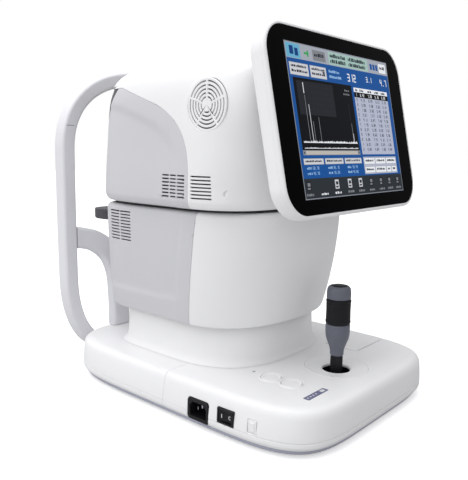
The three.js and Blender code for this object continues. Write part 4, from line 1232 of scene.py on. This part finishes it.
def build_support_arms():
    points = [(-122, 217, 184), (-110, 216, 182), (-92, 212, 176), (-74, 206, 160), (-65, 200, 134),
              (-63, 197, 96), (-63, 196, BASE_TOP + GAP)]
    for side, label in ((1, "left"), (-1, "right")):
        path = spline([Vector((side * x, y, z)) for x, y, z in points], 10)
        arm = sweep(f"headrest_arm_{label}", path, round_rect(17, 30, 5, 6))
        combine(arm, block((-121.2, 121.2), (150, 240), (BASE_TOP + GAP, 260)), "INTERSECT")
        piece(tidy(arm), "base", RING_GREY, [f"support_arm_{label}"], edge=0.5)


CHINREST_COLUMN_Y = 198
TISSUE_PIN_X = (-56, 56)


def build_chinrest():
    housing = moved(pillow("chinrest_guide_housing", 94, 22, 6, 96, 165, 1.2, 2.0), 0, CHINREST_COLUMN_Y)
    cut(housing, disc_cutter(7.4, 60, 250, (0, CHINREST_COLUMN_Y)))
    piece(housing, "base", RING_GREY, ["chinrest_housing"], edge=0.4)
    column = turned("chinrest_lift_column", [(0, 108), (7, 108), (7, 196), (0, 196)], 64, radius=0.5)
    piece(moved(column, 0, CHINREST_COLUMN_Y), "chinrest", STEEL, ["chinrest_column"])
    bracket = moved(pillow("chinrest_carrier", 34, 56, 8, 196.3, 203, 1.2, 1.0), 0, 214)
    piece(bracket, "chinrest", DARK_GREY, ["chinrest_bracket"])

    low, high = cad("chin_cup")
    mid_y = (low.y + high.y) / 2
    cup = pillow("chin_dish", high.x - low.x, high.y - low.y, 20, low.z, high.z, 3.0, 1.8, 5)
    moved(cup, 0, mid_y)
    turns = np.linspace(-math.pi / 2, math.pi / 2, 25)
    bowl = turned("tool", [(max(0.001, 46 * math.cos(t)), 46 * math.sin(t)) for t in turns], 72)
    moved(bowl, 0, mid_y + 6, high.z + 2, Matrix.Diagonal((0.95, 0.62, 0.3, 1)))
    cut(cup, bowl)
    for x in TISSUE_PIN_X:
        cut(cup, disc_cutter(1.6, high.z - 6, high.z + 4, (x, mid_y - 12), 24))
    piece(tidy(cup, 0.1), "chinrest", DARK_GREY, ["chin_cup"], edge=0.5)
    profile = [(0, -5.5), (1.4, -5.5), (1.4, -0.6), (0.9, 0), (0.01, 0.1)]
    pins = [moved(turned("pin", profile, 24), x, mid_y - 12, high.z - 0.2) for x in TISSUE_PIN_X]
    piece(gather("tissue_pins", pins), "chinrest", STEEL)


def build_forehead_pad():
    """A crowned pad with a moulded welt round its back edge."""
    low, high = cad("forehead_pad")
    width, height, depth = high.x - low.x, high.z - low.z, high.y - low.y
    rings = []
    for share in np.linspace(0, 1, 15):
        swell = math.sqrt(max(0.0, 1 - share ** 3.2))
        inset = (1 - swell) * 7.5 + (0.0 if share > 0.16 else 0.9 * math.sin(share / 0.16 * math.pi))
        rings.append([
            (x, low.y + 0.2 + share * (depth - 0.4), z) for x, z in
            round_rect(width - 0.4 - 2 * inset, height - 0.4 - 2 * inset, max(1.5, 8.5 - inset * 0.6), 8)
        ])
    pad = skin("forehead_cushion", rings)
    pad.data.transform(Matrix.Translation((0, 0, (low.z + high.z) / 2)))
    piece(pad, "base", PAD_SKIN, ["forehead_pad"])


# ---------------------------------------------------------------------------- fasteners and insides
def build_fasteners():
    """Screws on the lifting body's rear and underneath the pan."""
    screws = []
    for x in (-62, 62):
        for z in (128, 218):
            screws.append(moved(screw_head(3.0), x, 155.4, z, ALONG_Y))
    piece(gather("rear_cover_screws", screws), "lift", STEEL)
    under = [moved(screw_head(3.2), x, y_spot, 4.2, Matrix.Rotation(math.pi, 4, "X"))
             for x in (-128, 0, 128) for y_spot in (-120, 120)]
    piece(gather("pan_screws", under), "base", STEEL)


INSIDE_FINISHES = {
    "aluminium": (ALUMINIUM, ["lift_foot", "power_supply", "lift_carriage", "x_stage", "head_chassis",
                              "monitor_bracket"]),
    "steel": (STEEL, ["gimbal_ring", "lead_screw", "hinge_pin"]),
    "dark": (DARK_GREY, ["printer_bay", "lift_motor", "fan_rotor"]),
    "black": (BLACK_PLASTIC, ["joystick_socket", "optics_box", "fan_frame"]),
    "rubber": (RUBBER, ["platen_roller"]),
    "paper": (PAPER, ["paper_roll"]),
}


def finish_inside_nodes():
    for material, names in INSIDE_FINISHES.values():
        for name in names:
            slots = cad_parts[name].data.materials
            slots.clear()
            slots.append(material)


# ---------------------------------------------------------------------------- studio
BRIGHT_SIDE = (-0.56, 0.28, 0.78)  # where the studio's walls are brightest
ROOM_DIM, ROOM_BRIGHT = -0.06, 1.22  # the room's strength at its dim end, just below zero, and bright end
AIM = Vector((0, 0, 0.2))
LIGHTS = (  # name, place in metres, diameter, power in watts
    ("key", (-1.6, 0.5, 1.5), 1.4, 3),
    ("top", (-0.3, 0.2, 2.0), 1.6, 12),
)


def split_for_camera(tree, other_rays, camera_rays, output):
    """One shader for the camera's own rays, and another for all the rest."""
    seen = add(tree, "ShaderNodeLightPath").outputs["Is Camera Ray"]
    inputs = {0: seen, 1: other_rays.outputs[0], 2: camera_rays.outputs[0]}
    either = add(tree, "ShaderNodeMixShader", inputs)
    tree.links.new(either.outputs[0], tree.nodes[output].inputs["Surface"])


def build_floor():
    floor = skin("studio_floor", [[(-6, -6, -0.0005), (6, -6, -0.0005), (6, 6, -0.0005), (-6, 6, -0.0005)],
                                  [(-6, -6, 0), (6, -6, 0), (6, 6, 0), (-6, 6, 0)]])
    paper = surface("studio_paper", srgb(252, 252, 252), 0.9, mottle=0.005, bump=0.0)
    shader = paper.node_tree.nodes["Principled BSDF"]
    shader.inputs["Emission Color"].default_value = (1, 1, 1, 1)
    shader.inputs["Emission Strength"].default_value = 0.45
    tree = paper.node_tree
    dimmer = add(tree, "ShaderNodeBsdfDiffuse", Color=(0.55, 0.55, 0.55, 1))
    split_for_camera(tree, dimmer, shader, "Material Output")
    floor.data.materials.append(paper)


def build_room():
    world = bpy.data.worlds.new("studio")
    bpy.context.scene.world = world
    world.use_nodes = True
    tree = world.node_tree
    room = tree.nodes["Background"]
    direction = add(tree, "ShaderNodeTexCoord").outputs["Generated"]
    facing = add(tree, "ShaderNodeVectorMath", {0: direction}, operation="DOT_PRODUCT")
    facing.inputs[1].default_value = Vector(BRIGHT_SIDE).normalized()
    level = add(tree, "ShaderNodeMapRange", {"Value": facing.outputs["Value"]})
    level.inputs["From Min"].default_value = -1
    level.inputs["To Min"].default_value = ROOM_DIM
    level.inputs["To Max"].default_value = ROOM_BRIGHT
    tree.links.new(level.outputs["Result"], room.inputs["Strength"])
    room.inputs["Color"].default_value = (0.985, 0.99, 1, 1)
    backdrop = add(tree, "ShaderNodeBackground")
    backdrop.inputs["Color"].default_value = (1, 1, 1, 1)
    split_for_camera(tree, room, backdrop, "World Output")


def area_light(name, place, size, power):
    data = bpy.data.lights.new(name, "AREA")
    data.shape = "DISK"
    data.size = size
    data.energy = power
    light = bpy.data.objects.new(name, data)
    light.location = place
    light.rotation_euler = (AIM - Vector(place)).to_track_quat("-Z", "Y").to_euler()
    bpy.context.scene.collection.objects.link(light)


CAMERA = {"place": (-0.6043, -0.5333, 0.3132), "yaw": 48.75, "pitch": 8.851, "roll": 0.657, "lens": 45.38}


def build_camera():
    yaw, pitch, roll = (math.radians(CAMERA[key]) for key in ("yaw", "pitch", "roll"))
    ahead = Vector((math.sin(yaw) * math.cos(pitch), math.cos(yaw) * math.cos(pitch), -math.sin(pitch)))
    right = Vector((math.cos(yaw), -math.sin(yaw), 0))
    up = right.cross(ahead)
    rolled_right = right * math.cos(roll) + up * math.sin(roll)
    rolled_up = up * math.cos(roll) - right * math.sin(roll)
    data = bpy.data.cameras.new("camera")
    data.lens = CAMERA["lens"]
    data.sensor_width = 36
    data.clip_start, data.clip_end = 0.02, 50
    camera = bpy.data.objects.new("camera", data)
    camera.matrix_world = Matrix.Translation(CAMERA["place"]) @ Matrix(
        (rolled_right, rolled_up, -ahead)).transposed().to_4x4()
    bpy.context.scene.collection.objects.link(camera)
    bpy.context.scene.camera = camera


build_camera()
build_floor()
build_room()
for light in LIGHTS:
    area_light(*light)
bpy.context.scene.view_settings.view_transform = "Standard"
for build in (
    build_base_covers, build_base_pan_and_feet, build_joystick_dish, build_buttons,
    build_power_inlet, build_rocker_switch, build_port_cover, build_printer_door, build_joystick,
    build_collar, build_body_covers, build_body_top_plate, build_body_filters,
    build_head_covers, build_patient_face, build_fan_grille, build_objective,
    build_monitor_housing, build_monitor_front, build_display,
    build_ring, build_support_arms, build_chinrest, build_forehead_pad,
    build_fasteners, finish_inside_nodes,
):
    build()
